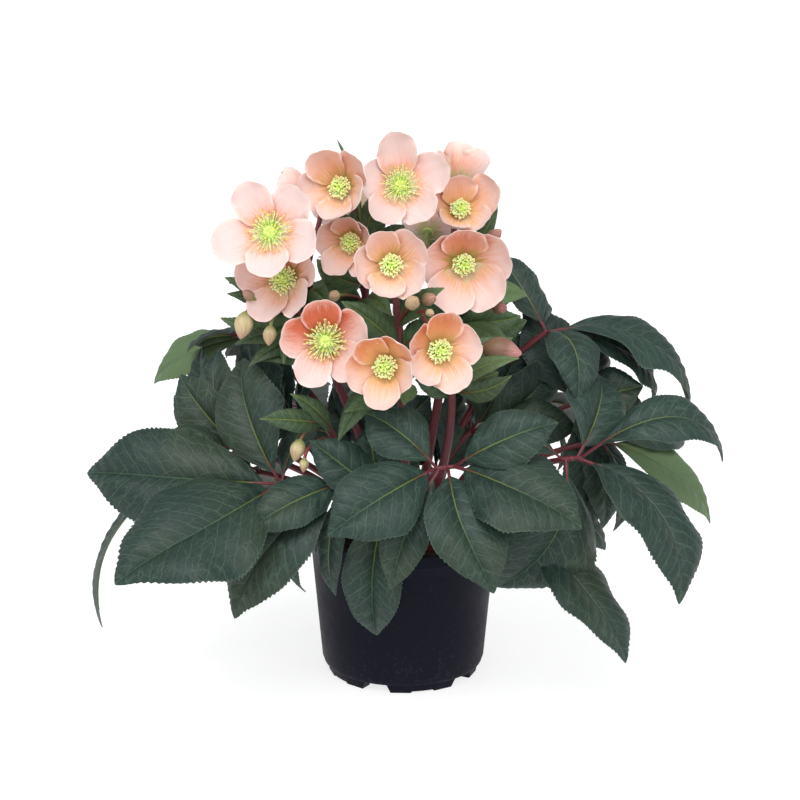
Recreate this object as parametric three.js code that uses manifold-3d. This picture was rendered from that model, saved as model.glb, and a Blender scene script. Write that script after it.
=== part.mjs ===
// A hellebore in full bloom in its round nursery pot, in millimetres, +Z up.
// The origin is on the pot's axis, on the surface that the pot stands on. -Y is the front.
import * as THREE from "three";
import { mergeVertices } from "three/addons/utils/BufferGeometryUtils.js";
import Module from "manifold-3d";

const wasm = await Module();
wasm.setup();

// ---------------------------------------------------------------- driving dimensions

const GAP = 0.3; // clearance between two pieces that touch
const MERGE = 1e-3; // vertices closer than this are one

const POT = {
  segments: 28,
  height: 134.5,
  rimRadius: 86,
  rimBand: 12, // height of the band round the mouth
  wallTopRadius: 84.4, // outside of the wall, just under the band
  wallBottomRadius: 74.6, // outside of the wall, where the bottom corner starts
  cornerHeight: 15,
  baseRadius: 71.5,
  wall: 1.8,
  base: 2.4,
  feet: 5,
  footSegments: 20, // facets of the ring that the feet are cut from
  footHeight: 8,
  footTopRadius: 70.5,
  footBottomRadius: 68.5,
  footWidth: 12, // how far a foot runs inwards
  footGapTop: 21, // the opening between two feet, wider at the floor
  footGapBottom: 27,
  footTurn: 15, // degrees from the front to the middle of the first foot
  footRecess: 1.7,
  footRecessWidth: 17,
  drainRadius: 4.5,
  drainRing: 63,
};

const SOIL = {
  top: 122,
  bump: 2.2,
  holeDepth: 14,
  holeSides: 5,
};

const PETIOLE = { foot: 3.6, end: 2.6, sides: 5, steps: 4 };
const HUB = { radius: 3, half: 0.9 };
const LEAFLET = { thickness: 0.7, rib: 0.55, stalkRadius: 1.5, tooth: 0.04 };
const STEM = { foot: 4.6, end: 3.1, sides: 5, steps: 5 };
const PEDICEL = { start: 2.6, end: 2.1, sides: 4, steps: 2 };
const SEPAL = { thickness: 0.8, start: 2, baseHalfWidth: 1.2, layer: 1.7 };
const RECEPTACLE = { radius: 4.4, above: 1, below: 2.4, sides: 5 };
const BOSS = { columns: 12 };

// Compound leaves: where the petiole leaves the soil, its hub, half the length of the hub's bar if it has
// one, how many layers its leaflets are made in, and each leaflet's tip, width, arch (as a share of its
// length), roll and fold (in degrees).
const LEAVES = {
  leaf_front: {
    root: [8, -37],
    hub: [35, -135, 231],
    layers: 2,
    bar: [9, 0, 1],
    leaflets: [
      [-63, -192, 190, 60, 0.1, -6, 6],
      [-33, -112, 274, 46, 0.14, -4, 4],
      [130, -146, 275, 44, 0.16, 6, 4],
      [147, -200, 201, 70, 0.1, 0, 6],
      [76, -210, 145, 52, 0.16, 0, 6],
      [-12, -172, 134, 38, 0.1, 0, 8],
    ],
  },
  leaf_right_front: {
    root: [32, -22],
    hub: [145, -90, 226],
    layers: 2,
    bar: [9, 3, 0],
    leaflets: [
      [176, -8, 284, 56, 0.12, 0, 10],
      [274, -50, 217, 44, 0.3, 0, 8],
      [236, -174, 130, 60, 0.16, 22, 4],
      [80, -132, 120, 60, 0.14, 0, 4],
      [84, -100, 250, 26, 0.08, 0, 4],
    ],
  },
  leaf_right_low: {
    root: [24, -33],
    hub: [106, -74, 160],
    leaflets: [
      [193, -142, 68, 50, 0.18, 16, 6],
      [50, -96, 120, 30, 0.2, 0, 6],
      [186, -30, 124, 36, 0.2, 10, 6],
    ],
  },
  leaf_right_high: {
    root: [30, 22],
    hub: [128, 12, 314],
    layers: 5,
    leaflets: [
      [262, 22, 244, 48, 0.36, 20, 8],
      [158, -70, 272, 40, 0.26, 45, 6],
      [241, 72, 240, 36, 0.34, 14, 8],
      [102, 40, 385, 36, 0.08, -55, 12],
      [132, 84, 344, 34, 0.12, -20, 10],
    ],
  },
  leaf_right_mid: {
    root: [38, 0],
    hub: [176, -18, 222],
    leaflets: [
      [262, 50, 208, 40, 0.16, 10, 6],
      [288, -14, 142, 50, 0.16, 30, 4],
      [190, -56, 148, 42, 0.14, 0, 6],
      [196, 76, 250, 36, 0.12, 0, 6],
    ],
  },
  leaf_left_front: {
    root: [-25, -30],
    hub: [-105, -95, 204],
    layers: 2,
    leaflets: [
      [-272, -70, 210, 70, 0.08, -16, 4],
      [-243, -196, 160, 74, 0.08, -30, 6],
      [-144, -30, 304, 56, 0.12, 0, 10],
      [-74, -40, 256, 32, 0.1, 0, 8],
    ],
  },
  leaf_left_mid: {
    root: [-36, -12],
    hub: [-144, -40, 219],
    layers: 4,
    leaflets: [
      [-167, 4, 304, 46, 0.12, 0, 8],
      [-200, -20, 284, 40, 0.1, 0, 14],
      [-226, -64, 222, 40, 0.12, -40, 8],
      [-281, 22, 46, 30, 0.24, 0, 20],
    ],
  },
  leaf_left_high: {
    root: [-36, 10],
    hub: [-138, 40, 303],
    layers: 2,
    leaflets: [
      [-228, 52, 260, 40, 0.12, -40, 6],
      [-196, 6, 300, 36, 0.12, -10, 6],
      [-206, 112, 250, 38, 0.14, -10, 6],
      [-146, 124, 270, 38, 0.12, 0, 6],
    ],
  },
  leaf_front_left: {
    root: [-12, -38],
    hub: [-50, -112, 210],
    layers: 2,
    leaflets: [
      [-130, -158, 184, 42, 0.14, -16, 4],
      [-138, -162, 94, 48, 0.1, 0, 6],
      [-60, -128, 112, 22, 0.1, 0, 6],
    ],
  },
  leaf_front_low: {
    root: [-2, -40],
    hub: [-14, -104, 194],
    leaflets: [
      [-24, -124, 73, 46, 0.14, 0, 20],
      [-80, -114, 250, 40, 0.14, -10, 6],
      [-30, -96, 260, 36, 0.1, 0, 6],
    ],
  },
};

// The leaves at the back follow a rule: five leaflets fan out round a heading and droop below the hub.
const FAN = {
  spread: [-96, -50, 0, 50, 96],
  length: [84, 110, 122, 110, 84],
  width: [38, 48, 52, 48, 38],
  arch: 0.2,
  fold: 8,
};
const BACK_LEAVES = {
  leaf_back_right: { root: [22, 34], hub: [104, 98, 226], heading: 40, drop: 66 },
  leaf_back: { root: [2, 40], hub: [6, 104, 262], heading: 88, drop: 66 },
  leaf_back_left: { root: [-20, 34], hub: [-92, 96, 222], heading: 132, drop: 60 },
  leaf_left_back: { root: [-34, 30], hub: [-132, 50, 172], heading: 174, drop: 54 },
};

// Blooms: eye of the flower, heading (0 faces the front, 90 faces +X), elevation, spin, length of a sepal
// from the eye, its width as a share of that, and the slope of the bowl at the eye and at the rim.
const BLOOMS = {
  bloom_01: { at: [-3, -15, 450], facing: [4, 22], spin: 18, size: 48, width: 0.82, bowl: [10, 40] },
  bloom_02: { at: [-52, -42, 453], facing: [-20, 15], spin: 50, size: 41, width: 0.9, bowl: [18, 62] },
  bloom_03: { at: [-112, -78, 421], facing: [-12, 18], spin: 50, size: 46, width: 0.84, bowl: [5, 30] },
  bloom_04: { at: [-100, -56, 377], facing: [-15, 26], spin: 30, size: 41, width: 0.88, bowl: [18, 60] },
  bloom_05: { at: [-43, -40, 407], facing: [-18, 0], spin: 26, size: 35, width: 0.9, bowl: [20, 62] },
  bloom_06: { at: [-10, -84, 394], facing: [0, 12], spin: 40, size: 39, width: 0.92, bowl: [16, 58] },
  bloom_07: { at: [49, 0, 425], facing: [15, 40], spin: 20, size: 38, width: 0.92, bowl: [18, 60] },
  bloom_08: { at: [64, 34, 449], facing: [-50, 52], spin: 10, size: 37, width: 0.9, bowl: [26, 74] },
  bloom_09: { at: [51, -62, 392], facing: [5, -2], spin: 22, size: 45, width: 0.96, bowl: [15, 52] },
  bloom_10: { at: [-65, -115, 336], facing: [0, 3], spin: 30, size: 42, width: 0.86, bowl: [8, 38] },
  bloom_11: { at: [-14, -130, 319], facing: [-10, 0], spin: 54, size: 41, width: 0.84, bowl: [16, 60] },
  bloom_12: { at: [29, -120, 329], facing: [13, 10], spin: 8, size: 41, width: 0.88, bowl: [14, 54] },
  bloom_13: { at: [-84, 4, 443], facing: [-98, 18], spin: 20, size: 32, width: 0.8, bowl: [34, 84] },
  bloom_14: { at: [22, 28, 402], facing: [165, 20], spin: 30, size: 35, width: 0.88, bowl: [14, 50] },
  bloom_15: { at: [-46, 62, 420], facing: [200, 18], spin: 10, size: 42, width: 0.86, bowl: [10, 42] },
  bloom_16: { at: [40, 88, 362], facing: [150, 8], spin: 46, size: 41, width: 0.88, bowl: [14, 52] },
};
// Which edges of the five sepals lie inside (1) or outside (-1) their neighbours: left, right.
const LAYERS = [[-1, -1], [1, 1], [-1, -1], [1, 1], [-1, 1]];

// Flower stems: the course of the stem out of the soil, then each bloom and where along the stem its
// pedicel leaves, each bud (place, direction, length, where its stalk leaves), and each bract (where it
// leaves, tip, width).
const STEMS = {
  stem_left: {
    course: [[-20, -8], [-34, -12, 210], [-66, -20, 300], [-86, -14, 388]],
    blooms: { bloom_03: 0.98, bloom_04: 0.86, bloom_13: 0.94 },
    buds: [
      [[-142, -70, 330], [-0.4, -0.4, -1], 24, 0.72],
      [[-124, -84, 318], [-0.2, -0.5, -1], 17, 0.66],
      [[-146, -62, 352], [-1, -0.2, 0.6], 12, 0.82],
    ],
    bracts: [
      [0.82, [-154, -44, 362], 20],
      [0.74, [-104, -88, 312], 20],
      [0.9, [-60, -62, 352], 22],
    ],
  },
  stem_top_left: {
    course: [[-10, 6], [-16, -2, 220], [-30, -10, 320], [-38, -12, 404]],
    blooms: { bloom_01: 0.98, bloom_02: 0.96, bloom_05: 0.84 },
    buds: [[[-58, -34, 366], [-0.3, -0.7, 0.1], 14, 0.76]],
    bracts: [
      [0.97, [-74, -8, 474], 18],
      [0.96, [-22, -8, 448], 18],
      [0.86, [-74, -50, 388], 20],
      [0.72, [-40, -64, 352], 26],
    ],
  },
  stem_right: {
    course: [[17, 2], [26, -2, 220], [40, -6, 320], [44, 8, 398]],
    blooms: { bloom_07: 0.97, bloom_08: 0.93, bloom_09: 0.86, bloom_14: 0.8 },
    buds: [
      [[88, -24, 424], [0.8, -0.3, 0.5], 16, 0.94],
      [[78, -58, 352], [0.6, -0.6, 0.1], 16, 0.72],
    ],
    bracts: [
      [0.95, [84, -6, 440], 16],
      [0.84, [22, -58, 366], 20],
      [0.7, [92, -64, 318], 30],
    ],
  },
  stem_front: {
    course: [[2, -18], [2, -34, 200], [-2, -62, 280], [-4, -72, 340]],
    blooms: { bloom_06: 0.98, bloom_10: 0.76, bloom_11: 0.84 },
    buds: [
      [[8, -104, 366], [0.2, -0.8, 0.5], 16, 0.97],
      [[20, -104, 358], [0.5, -0.8, 0], 10, 0.95],
    ],
    bracts: [
      [0.9, [-52, -94, 366], 26],
      [0.98, [20, -112, 384], 20],
      [0.8, [-34, -110, 280], 18],
    ],
  },
  stem_front_right: {
    course: [[20, -20], [34, -40, 200], [42, -64, 260], [40, -82, 310]],
    blooms: { bloom_12: 0.96 },
    buds: [
      [[98, -92, 318], [0.9, -0.3, 0.2], 28, 0.84],
      [[28, -94, 368], [0.5, -0.6, 0.4], 16, 0.98],
    ],
    bracts: [[0.9, [108, -88, 334], 28]],
  },
  stem_back: {
    course: [[0, 22], [2, 44, 210], [-4, 62, 300], [-8, 66, 360]],
    blooms: { bloom_15: 0.97, bloom_16: 0.86 },
    buds: [[[-30, 96, 372], [-0.5, 0.6, -0.2], 20, 0.84]],
    bracts: [
      [0.9, [-78, 70, 376], 24],
      [0.84, [26, 112, 316], 26],
    ],
  },
  stem_low: {
    course: [[-16, -22], [-34, -56, 180], [-56, -76, 232], [-68, -82, 258]],
    blooms: {},
    buds: [
      [[-88, -104, 246], [-0.3, -0.3, -1], 19, 0.96],
      [[-84, -112, 232], [-0.1, -0.4, -1], 12, 0.84],
    ],
    bracts: [
      [0.97, [-122, -114, 268], 20],
      [0.9, [-96, -96, 286], 16],
    ],
  },
};

const COLOURS = {
  pot: { color: 0x22232e, roughness: 0.5 },
  soil: { color: 0x2a1e16, roughness: 0.95 },
  leaf: { color: 0x2c4a3c, roughness: 0.55 },
  stem: { color: 0x5a1f26, roughness: 0.5 },
  sepal: { color: 0xf3c4b0, roughness: 0.6 },
  boss: { color: 0xb4c84e, roughness: 0.7 },
};

// ---------------------------------------------------------------- closed surfaces

const UP = new THREE.Vector3(0, 0, 1);
const radians = THREE.MathUtils.degToRad;
const vector = (list) => new THREE.Vector3(...list);

// A closed surface of vertices and triangles as a solid; a surface that is inside out is turned round.
function solid(positions, triangles) {
  const at = (i) => new THREE.Vector3().fromArray(positions, 3 * i);
  let volume = 0;
  for (let i = 0; i < triangles.length; i += 3) {
    const [a, b, c] = triangles.slice(i, i + 3).map(at);
    volume += a.dot(b.cross(c));
  }
  const triVerts = new Uint32Array(triangles);
  if (volume < 0) triVerts.reverse();
  const vertProperties = new Float32Array(positions);
  return new wasm.Manifold(new wasm.Mesh({ numProp: 3, vertProperties, triVerts }));
}

// A three.js geometry as a solid, without the triangles that have no area at its poles.
function solidOf(geometry) {
  const bare = geometry.clone();
  bare.deleteAttribute("normal");
  bare.deleteAttribute("uv");
  const merged = mergeVertices(bare, MERGE);
  const triangles = [];
  for (let i = 0; i < merged.index.count; i += 3) {
    const [a, b, c] = merged.index.array.subarray(i, i + 3);
    if (a !== b && b !== c && c !== a) triangles.push(a, b, c);
  }
  return solid(Array.from(merged.attributes.position.array), triangles);
}

// Vertices and triangles that grow into a closed surface.
class Surface {
  positions = [];
  triangles = [];

  add(point) {
    return this.positions.push(point.x, point.y, point.z) / 3 - 1;
  }

  face(...corners) {
    if (new Set(corners).size === 3) this.triangles.push(...corners);
  }

  // The strip between two lines of [share, vertex], always stepping on along the line that is behind.
  strip(a, b, turned) {
    let [i, j] = [0, 0];
    while (i + 1 < a.length || j + 1 < b.length) {
      const stepA = j + 1 >= b.length || (i + 1 < a.length && a[i + 1][0] <= b[j + 1][0]);
      const next = stepA ? a[i + 1][1] : b[j + 1][1];
      const corners = [a[i][1], b[j][1], next];
      this.face(...(turned ? corners.reverse() : corners));
      if (stepA) i++;
      else j++;
    }
  }

  solid() {
    return solid(this.positions, this.triangles);
  }
}

function joined(solids) {
  return solids.reduce((whole, piece) => whole.add(piece));
}

// Rings with the same number of points, joined into a skin and closed at both ends.
function loft(rings) {
  const count = rings[0].length;
  const positions = rings.flat().flatMap((p) => p.toArray());
  const triangles = [];
  for (let k = 0; k + 1 < rings.length; k++) {
    for (let i = 0; i < count; i++) {
      const a = k * count + i;
      const b = k * count + ((i + 1) % count);
      triangles.push(a, b, b + count, a, b + count, a + count);
    }
  }
  const last = (rings.length - 1) * count;
  for (let i = 1; i + 1 < count; i++) {
    triangles.push(0, i + 1, i, last, last + i, last + i + 1);
  }
  return solid(positions, triangles);
}

// A round stem along a curve, thinning evenly from one end to the other. With a foot, it first goes
// straight up from that height to where the curve starts.
function taperedStem(curve, { sides, steps }, startRadius, endRadius, foot) {
  const frames = curve.computeFrenetFrames(steps, false);
  const rings = [];
  for (let k = 0; k <= steps; k++) {
    const radius = THREE.MathUtils.lerp(startRadius, endRadius, k / steps);
    const centre = curve.getPointAt(k / steps);
    const ring = [];
    for (let i = 0; i < sides; i++) {
      const angle = (2 * Math.PI * i) / sides;
      const out = frames.normals[k].clone().multiplyScalar(radius * Math.cos(angle));
      ring.push(out.addScaledVector(frames.binormals[k], radius * Math.sin(angle)).add(centre));
    }
    rings.push(ring);
  }
  if (foot !== undefined) rings.unshift(rings[0].map((p) => p.clone().setZ(foot)));
  return loft(rings);
}

// An egg-shaped bud, pointing along an axis.
function egg(centre, axis, radius, halfLength, sides, rows) {
  const geometry = new THREE.SphereGeometry(1, sides, rows);
  geometry.scale(radius, halfLength, radius);
  geometry.applyQuaternion(new THREE.Quaternion().setFromUnitVectors(new THREE.Vector3(0, 1, 0), axis));
  geometry.translate(...centre);
  return solidOf(geometry);
}

// ---------------------------------------------------------------- pot and soil

// Radius of the inside of the pot's wall at a height.
function insideRadius(z) {
  const p = POT;
  const share = (z - p.cornerHeight) / (p.height - p.cornerHeight);
  return THREE.MathUtils.lerp(p.wallBottomRadius, p.wallTopRadius, share) - p.wall;
}

function turned(profile, segments) {
  const points = profile.map(([r, z]) => new THREE.Vector2(r, z));
  return new THREE.LatheGeometry(points, segments).rotateX(Math.PI / 2);
}

function potShell() {
  const p = POT;
  const under = p.footHeight;
  const bandFoot = p.height - p.rimBand;
  const profile = [
    [0, under + 0.8],
    [p.baseRadius - 1, under],
    [p.baseRadius + 1.2, under + 2.2],
    [p.wallBottomRadius, p.cornerHeight],
    [p.wallTopRadius, bandFoot],
    [p.rimRadius, bandFoot + 0.6],
    [p.rimRadius, p.height - 0.8],
    [p.rimRadius - 1, p.height],
    [insideRadius(p.height) + 0.6, p.height],
    [insideRadius(p.height), p.height - 0.6],
    [insideRadius(p.cornerHeight), p.cornerHeight],
    [p.baseRadius - 1.4, under + 0.8 + p.base],
    [0, under + 0.8 + p.base],
  ];
  return solidOf(turned(profile, p.segments));
}

function footRing() {
  const p = POT;
  const top = p.footHeight + 1.6;
  const profile = [
    [p.footTopRadius - p.footWidth, top],
    [p.footBottomRadius - p.footWidth, 0],
    [p.footBottomRadius, 0],
    [p.footTopRadius, p.footHeight],
    [p.footTopRadius, top],
    [p.footTopRadius - p.footWidth, top],
  ];
  return solidOf(turned(profile, p.footSegments));
}

// A block across the foot ring, narrower above than below, for what is cut out of the ring.
function ringBlock(angle, topWidth, bottomWidth, top) {
  const outline = new THREE.Shape([
    new THREE.Vector2(-bottomWidth / 2, -1),
    new THREE.Vector2(bottomWidth / 2, -1),
    new THREE.Vector2(topWidth / 2, top),
    new THREE.Vector2(-topWidth / 2, top),
  ]);
  const inside = POT.footBottomRadius - POT.footWidth - 6;
  const depth = POT.footTopRadius + 4 - inside;
  const block = new THREE.ExtrudeGeometry(outline, { depth, bevelEnabled: false, steps: 1 });
  return solidOf(block.rotateX(Math.PI / 2).translate(0, -inside, 0).rotateZ(radians(angle)));
}

function pot() {
  const p = POT;
  const pitch = 360 / p.feet;
  let ring = footRing();
  for (let i = 0; i < p.feet; i++) {
    const foot = p.footTurn + i * pitch;
    ring = ring.subtract(ringBlock(foot + pitch / 2, p.footGapTop, p.footGapBottom, p.footHeight));
    ring = ring.subtract(ringBlock(foot, p.footRecessWidth, p.footRecessWidth + 1, p.footRecess));
  }
  let made = potShell().add(ring);
  for (let i = 0; i < p.feet; i++) {
    const drain = new THREE.CylinderGeometry(p.drainRadius, p.drainRadius, 4 * p.base, 8);
    const angle = radians(p.footTurn + (i + 0.5) * pitch);
    drain.rotateX(Math.PI / 2);
    drain.translate(p.drainRing * Math.sin(angle), -p.drainRing * Math.cos(angle), p.footHeight + p.base);
    made = made.subtract(solidOf(drain));
  }
  return made;
}

// Where stems and petioles stand, with the radius of the hole that each has in the soil.
function standingPlaces() {
  const leaves = [...Object.values(LEAVES), ...Object.values(BACK_LEAVES)];
  return [
    ...leaves.map((leaf) => [leaf.root, PETIOLE.foot]),
    ...Object.values(STEMS).map((stem) => [stem.course[0], STEM.foot]),
  ];
}

// Peat that fills the pot to just under its mouth, with a lumpy top.
function soil() {
  const { top, bump, holeDepth, holeSides } = SOIL;
  const floor = POT.footHeight + 0.8 + POT.base + GAP;
  const edge = top - 2;
  const profile = [
    [0, floor],
    [POT.baseRadius - 1.4 - GAP, floor],
    [insideRadius(POT.cornerHeight) - GAP, POT.cornerHeight],
    [insideRadius(edge) - GAP, edge],
    [56, top],
    [28, top],
    [0, top],
  ];
  const body = turned(profile, POT.segments);
  const place = body.attributes.position;
  for (let i = 0; i < place.count; i++) {
    const [x, y, z] = [place.getX(i), place.getY(i), place.getZ(i)];
    const lump = Math.sin(0.11 * x + 1.3) * Math.cos(0.09 * y - 0.4) + 0.5 * Math.sin(0.21 * (x + y));
    if (z > top - 1) place.setZ(i, z + bump * lump);
  }
  const holes = standingPlaces().map(([[x, y], radius]) => {
    const around = (radius + GAP) / Math.cos(Math.PI / holeSides);
    const hole = new THREE.CylinderGeometry(around, around, 2 * holeDepth, holeSides);
    return solidOf(hole.rotateX(Math.PI / 2).translate(x, y, top));
  });
  return solidOf(body).subtract(joined(holes));
}

// Every stem stands in its hole, just clear of the bottom, and is straight up to a little above the soil.
const FOOT_Z = SOIL.top - SOIL.holeDepth + GAP;
const STRAIGHT_Z = SOIL.top + 5;

// ---------------------------------------------------------------- leaves

// Half the width of a leaflet along its length, as a share of its greatest: a wedge at the base, widest a
// little before the middle and drawn out to a point.
function leafOutline(u) {
  const widest = 0.42;
  const quarter = Math.PI / 2;
  if (u < widest) return Math.sin((quarter * u) / widest) ** 1.4;
  return Math.cos((quarter * (u - widest)) / (1 - widest)) ** 0.8;
}

// Points along one edge of a blade, from the end of its stalk: the share of its length, and 1 at the tip
// of a tooth or -1 in the notch after it.
const LARGE = {
  edge: [[0, 0], [0.16, 0], [0.36, 1], [0.4, -1], [0.6, 1], [0.64, -1], [0.8, 1], [0.83, -1]],
  rib: [0, 0.2, 0.5, 0.78],
};
const SMALL = {
  edge: [[0, 0], [0.2, 0], [0.46, 1], [0.5, -1], [0.74, 1], [0.78, -1]],
  rib: [0, 0.5],
};
const BRACT = {
  edge: [[0.3, 0], [0.6, 1], [0.65, -1]],
  rib: [0.5],
};
const LARGE_WIDTH = 54;

// The frame of a leaflet: its midrib is an arc from start to tip, its two halves fold up from it, and its
// face leans outwards from the pot. Gives the place at a share of the length, a distance to the side and
// a lift off the blade.
function leafletPlace(start, tip, { arch, roll, fold }) {
  const chord = tip.clone().sub(start);
  const along = chord.clone().normalize();
  const normal = faceOf(start);
  normal.addScaledVector(along, -normal.dot(along)).normalize().applyAxisAngle(along, radians(roll));
  const side = along.clone().cross(normal).normalize();
  const control = start.clone().lerp(tip, 0.5).addScaledVector(normal, 2 * arch * chord.length());
  const midrib = new THREE.QuadraticBezierCurve3(start, control, tip);
  const rise = Math.tan(radians(fold));
  return (share, across, lift) => {
    const up = side.clone().cross(midrib.getTangent(share)).normalize();
    const height = lift + Math.abs(across) * rise;
    return midrib.getPoint(share).addScaledVector(side, across).addScaledVector(up, height);
  };
}

// Leaves face up and away from the pot's axis alike.
function faceOf(point) {
  return new THREE.Vector3(point.x, point.y, 0).normalize().add(UP).normalize();
}

// A leaflet's two faces and its edges, from six root vertices to its tip. The roots are left, middle and
// right above, then right, middle and left below. Both faces are split into triangles alike.
function addLeaflet(surface, point, roots, { length, width, stalk, edge, rib }) {
  const half = LEAFLET.thickness / 2;
  const tips = [half, -half].map((lift) => surface.add(point(1, 0, lift)));
  const onBlade = (share) => (stalk + (length - stalk) * share) / length;
  const edgeLine = (root, sign, lift, end) => [
    [0, root],
    ...edge.map(([share, cut]) => {
      const tooth = 0.5 * cut * LEAFLET.tooth * width;
      const across = share ? (width / 2) * leafOutline(share) + tooth : LEAFLET.stalkRadius;
      return [onBlade(share), surface.add(point(onBlade(share), sign * across, lift))];
    }),
    [1, end],
  ];
  const ribLine = (root, sign, end) => [
    [0, root],
    ...rib.map((share) => {
      const lift = sign * (half + LEAFLET.rib * (1 - share));
      return [onBlade(share), surface.add(point(onBlade(share), 0, lift))];
    }),
    [1, end],
  ];
  const leftTop = edgeLine(roots[0], -1, half, tips[0]);
  const ribTop = ribLine(roots[1], 1, tips[0]);
  const rightTop = edgeLine(roots[2], 1, half, tips[0]);
  const rightBottom = edgeLine(roots[3], 1, -half, tips[1]);
  const ribBottom = ribLine(roots[4], -1, tips[1]);
  const leftBottom = edgeLine(roots[5], -1, -half, tips[1]);
  surface.strip(ribTop, rightTop, false);
  surface.strip(ribTop, leftTop, true);
  surface.strip(ribBottom, rightBottom, true);
  surface.strip(ribBottom, leftBottom, false);
  surface.strip(rightTop, rightBottom, false);
  surface.strip(leftTop, leftBottom, true);
}

// The leaflets of a compound leaf in their order round the hub, each with its frame. Those that point
// along the hub's bar start at its ends.
function leafletsOf(centre, bar, rows) {
  const { first, second } = hubPlane(centre);
  const leaflets = rows.map(([x, y, z, width, arch, roll, fold]) => {
    const tip = new THREE.Vector3(x, y, z);
    const away = tip.clone().sub(centre).normalize();
    const start = alongBar(centre, bar, away);
    const point = leafletPlace(start, tip, { arch, roll, fold });
    const origin = point(0, 0, 0);
    return {
      point,
      width,
      length: start.distanceTo(tip),
      angle: Math.atan2(away.dot(second), away.dot(first)),
      leaving: point(0.04, 0, 0).sub(origin).normalize(),
      up: point(0, 0, 1).sub(origin),
    };
  });
  return leaflets.sort((a, b) => a.angle - b.angle);
}

function hubPlane(centre) {
  const normal = faceOf(centre);
  const first = new THREE.Vector3().crossVectors(UP, normal).normalize();
  return { normal, first, second: normal.clone().cross(first) };
}

function alongBar(place, bar, out) {
  const half = bar.length();
  return half ? place.clone().addScaledVector(bar, out.dot(bar) / half) : place.clone();
}

function leafletDetail({ width, length }) {
  return { length, width, stalk: 9 + 0.06 * length, ...(width >= LARGE_WIDTH ? LARGE : SMALL) };
}

// The blade of a compound leaf, as one closed surface. Each leaflet shares the points between it and its
// neighbours with them.
function compoundBlade(centre, bar, leaflets) {
  const { normal, first, second } = hubPlane(centre);
  const surface = new Surface();
  const pair = (place, up) =>
    [1, -1].map((sign) => surface.add(place.clone().addScaledVector(up, sign * HUB.half)));
  const hub = pair(centre, normal);
  const count = leaflets.length;
  const between = leaflets.map((leaflet, i) => {
    const next = leaflets[(i + 1) % count];
    const gap = next.angle - leaflet.angle + (i + 1 < count ? 0 : 2 * Math.PI);
    const middle = leaflet.angle + gap / 2;
    const out = first.clone().multiplyScalar(Math.cos(middle)).addScaledVector(second, Math.sin(middle));
    out.addScaledVector(normal, 0.5 * leaflet.leaving.clone().add(next.leaving).dot(normal)).normalize();
    const place = alongBar(centre, bar, out).addScaledVector(out, HUB.radius);
    return pair(place, leaflet.up.clone().add(next.up).normalize());
  });
  leaflets.forEach((leaflet, i) => {
    const [left, right] = [between[i], between[(i + count - 1) % count]];
    const roots = [left[0], hub[0], right[0], right[1], hub[1], left[1]];
    addLeaflet(surface, leaflet.point, roots, leafletDetail(leaflet));
  });
  return surface.solid();
}

// A leaflet on its own, with its root closed by a cap.
function singleLeaflet(point, detail) {
  const surface = new Surface();
  const half = LEAFLET.thickness / 2;
  const r = LEAFLET.stalkRadius;
  const ring = [[-r, half], [0, r], [r, half], [r, -half], [0, -r], [-r, -half]];
  const roots = ring.map(([across, lift]) => surface.add(point(0, across, lift)));
  addLeaflet(surface, point, roots, detail);
  for (let i = 1; i < 5; i++) surface.face(roots[0], roots[i + 1], roots[i]);
  return surface.solid();
}

// The petiole rises out of the soil and leans out to its hub, where it ends inside the blade.
function petiole(root, hub) {
  const start = new THREE.Vector3(...root, STRAIGHT_Z);
  const reach = new THREE.Vector3(hub.x - start.x, hub.y - start.y, 0);
  const rise = hub.z - start.z;
  const upright = start.clone().addScaledVector(UP, 0.5 * rise);
  const leaning = hub.clone().addScaledVector(reach, -0.35).addScaledVector(UP, -0.12 * rise);
  const curve = new THREE.CubicBezierCurve3(start, upright, leaning, hub);
  return taperedStem(curve, PETIOLE, PETIOLE.foot, PETIOLE.end, FOOT_Z);
}

// A whole leaf. Where its leaflets lie over one another, neighbours go into different layers, and a
// leaflet that is alone in its layer is a blade of its own.
function leaf({ root, hub, bar = [0, 0, 0], layers = 1, leaflets: rows }) {
  const centre = vector(hub);
  const leaflets = leafletsOf(centre, vector(bar), rows);
  const pieces = [petiole(root, centre)];
  for (let k = 0; k < layers; k++) {
    const layer = leaflets.filter((_, i) => i % layers === k);
    const alone = layer.length === 1;
    pieces.push(
      alone
        ? singleLeaflet(layer[0].point, leafletDetail(layer[0]))
        : compoundBlade(centre, vector(bar), layer),
    );
  }
  return joined(pieces);
}

// A leaf of the rule for the back: it fans out round its heading.
function fanLeaf({ root, hub, heading, drop }) {
  const leaflets = FAN.spread.map((turn, i) => {
    const angle = radians(heading + turn);
    const reach = 0.92 * FAN.length[i];
    const fall = drop * (0.8 + 0.25 * Math.sin(2.4 * i + hub[0]));
    const tip = [hub[0] + reach * Math.cos(angle), hub[1] + reach * Math.sin(angle), hub[2] - fall];
    return [...tip, FAN.width[i], FAN.arch, 0, FAN.fold];
  });
  return leaf({ root, hub, leaflets });
}

function bract(start, tip, width) {
  const point = leafletPlace(start, tip, { arch: 0.14, roll: 0, fold: 10 });
  return singleLeaflet(point, { length: start.distanceTo(tip), width, stalk: 3, ...BRACT });
}

// ---------------------------------------------------------------- blooms

// The three axes of a bloom: right, up in its own plane, and out of its face.
function bloomFrame({ at, facing, spin }) {
  const [heading, elevation] = facing.map(radians);
  const out = new THREE.Vector3(
    Math.sin(heading) * Math.cos(elevation),
    -Math.cos(heading) * Math.cos(elevation),
    Math.sin(elevation),
  );
  const right = new THREE.Vector3(Math.cos(heading), Math.sin(heading), 0);
  const up = out.clone().cross(right);
  const frame = new THREE.Matrix4().makeBasis(right, up, out).setPosition(...at);
  return frame.multiply(new THREE.Matrix4().makeRotationZ(radians(spin)));
}

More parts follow.
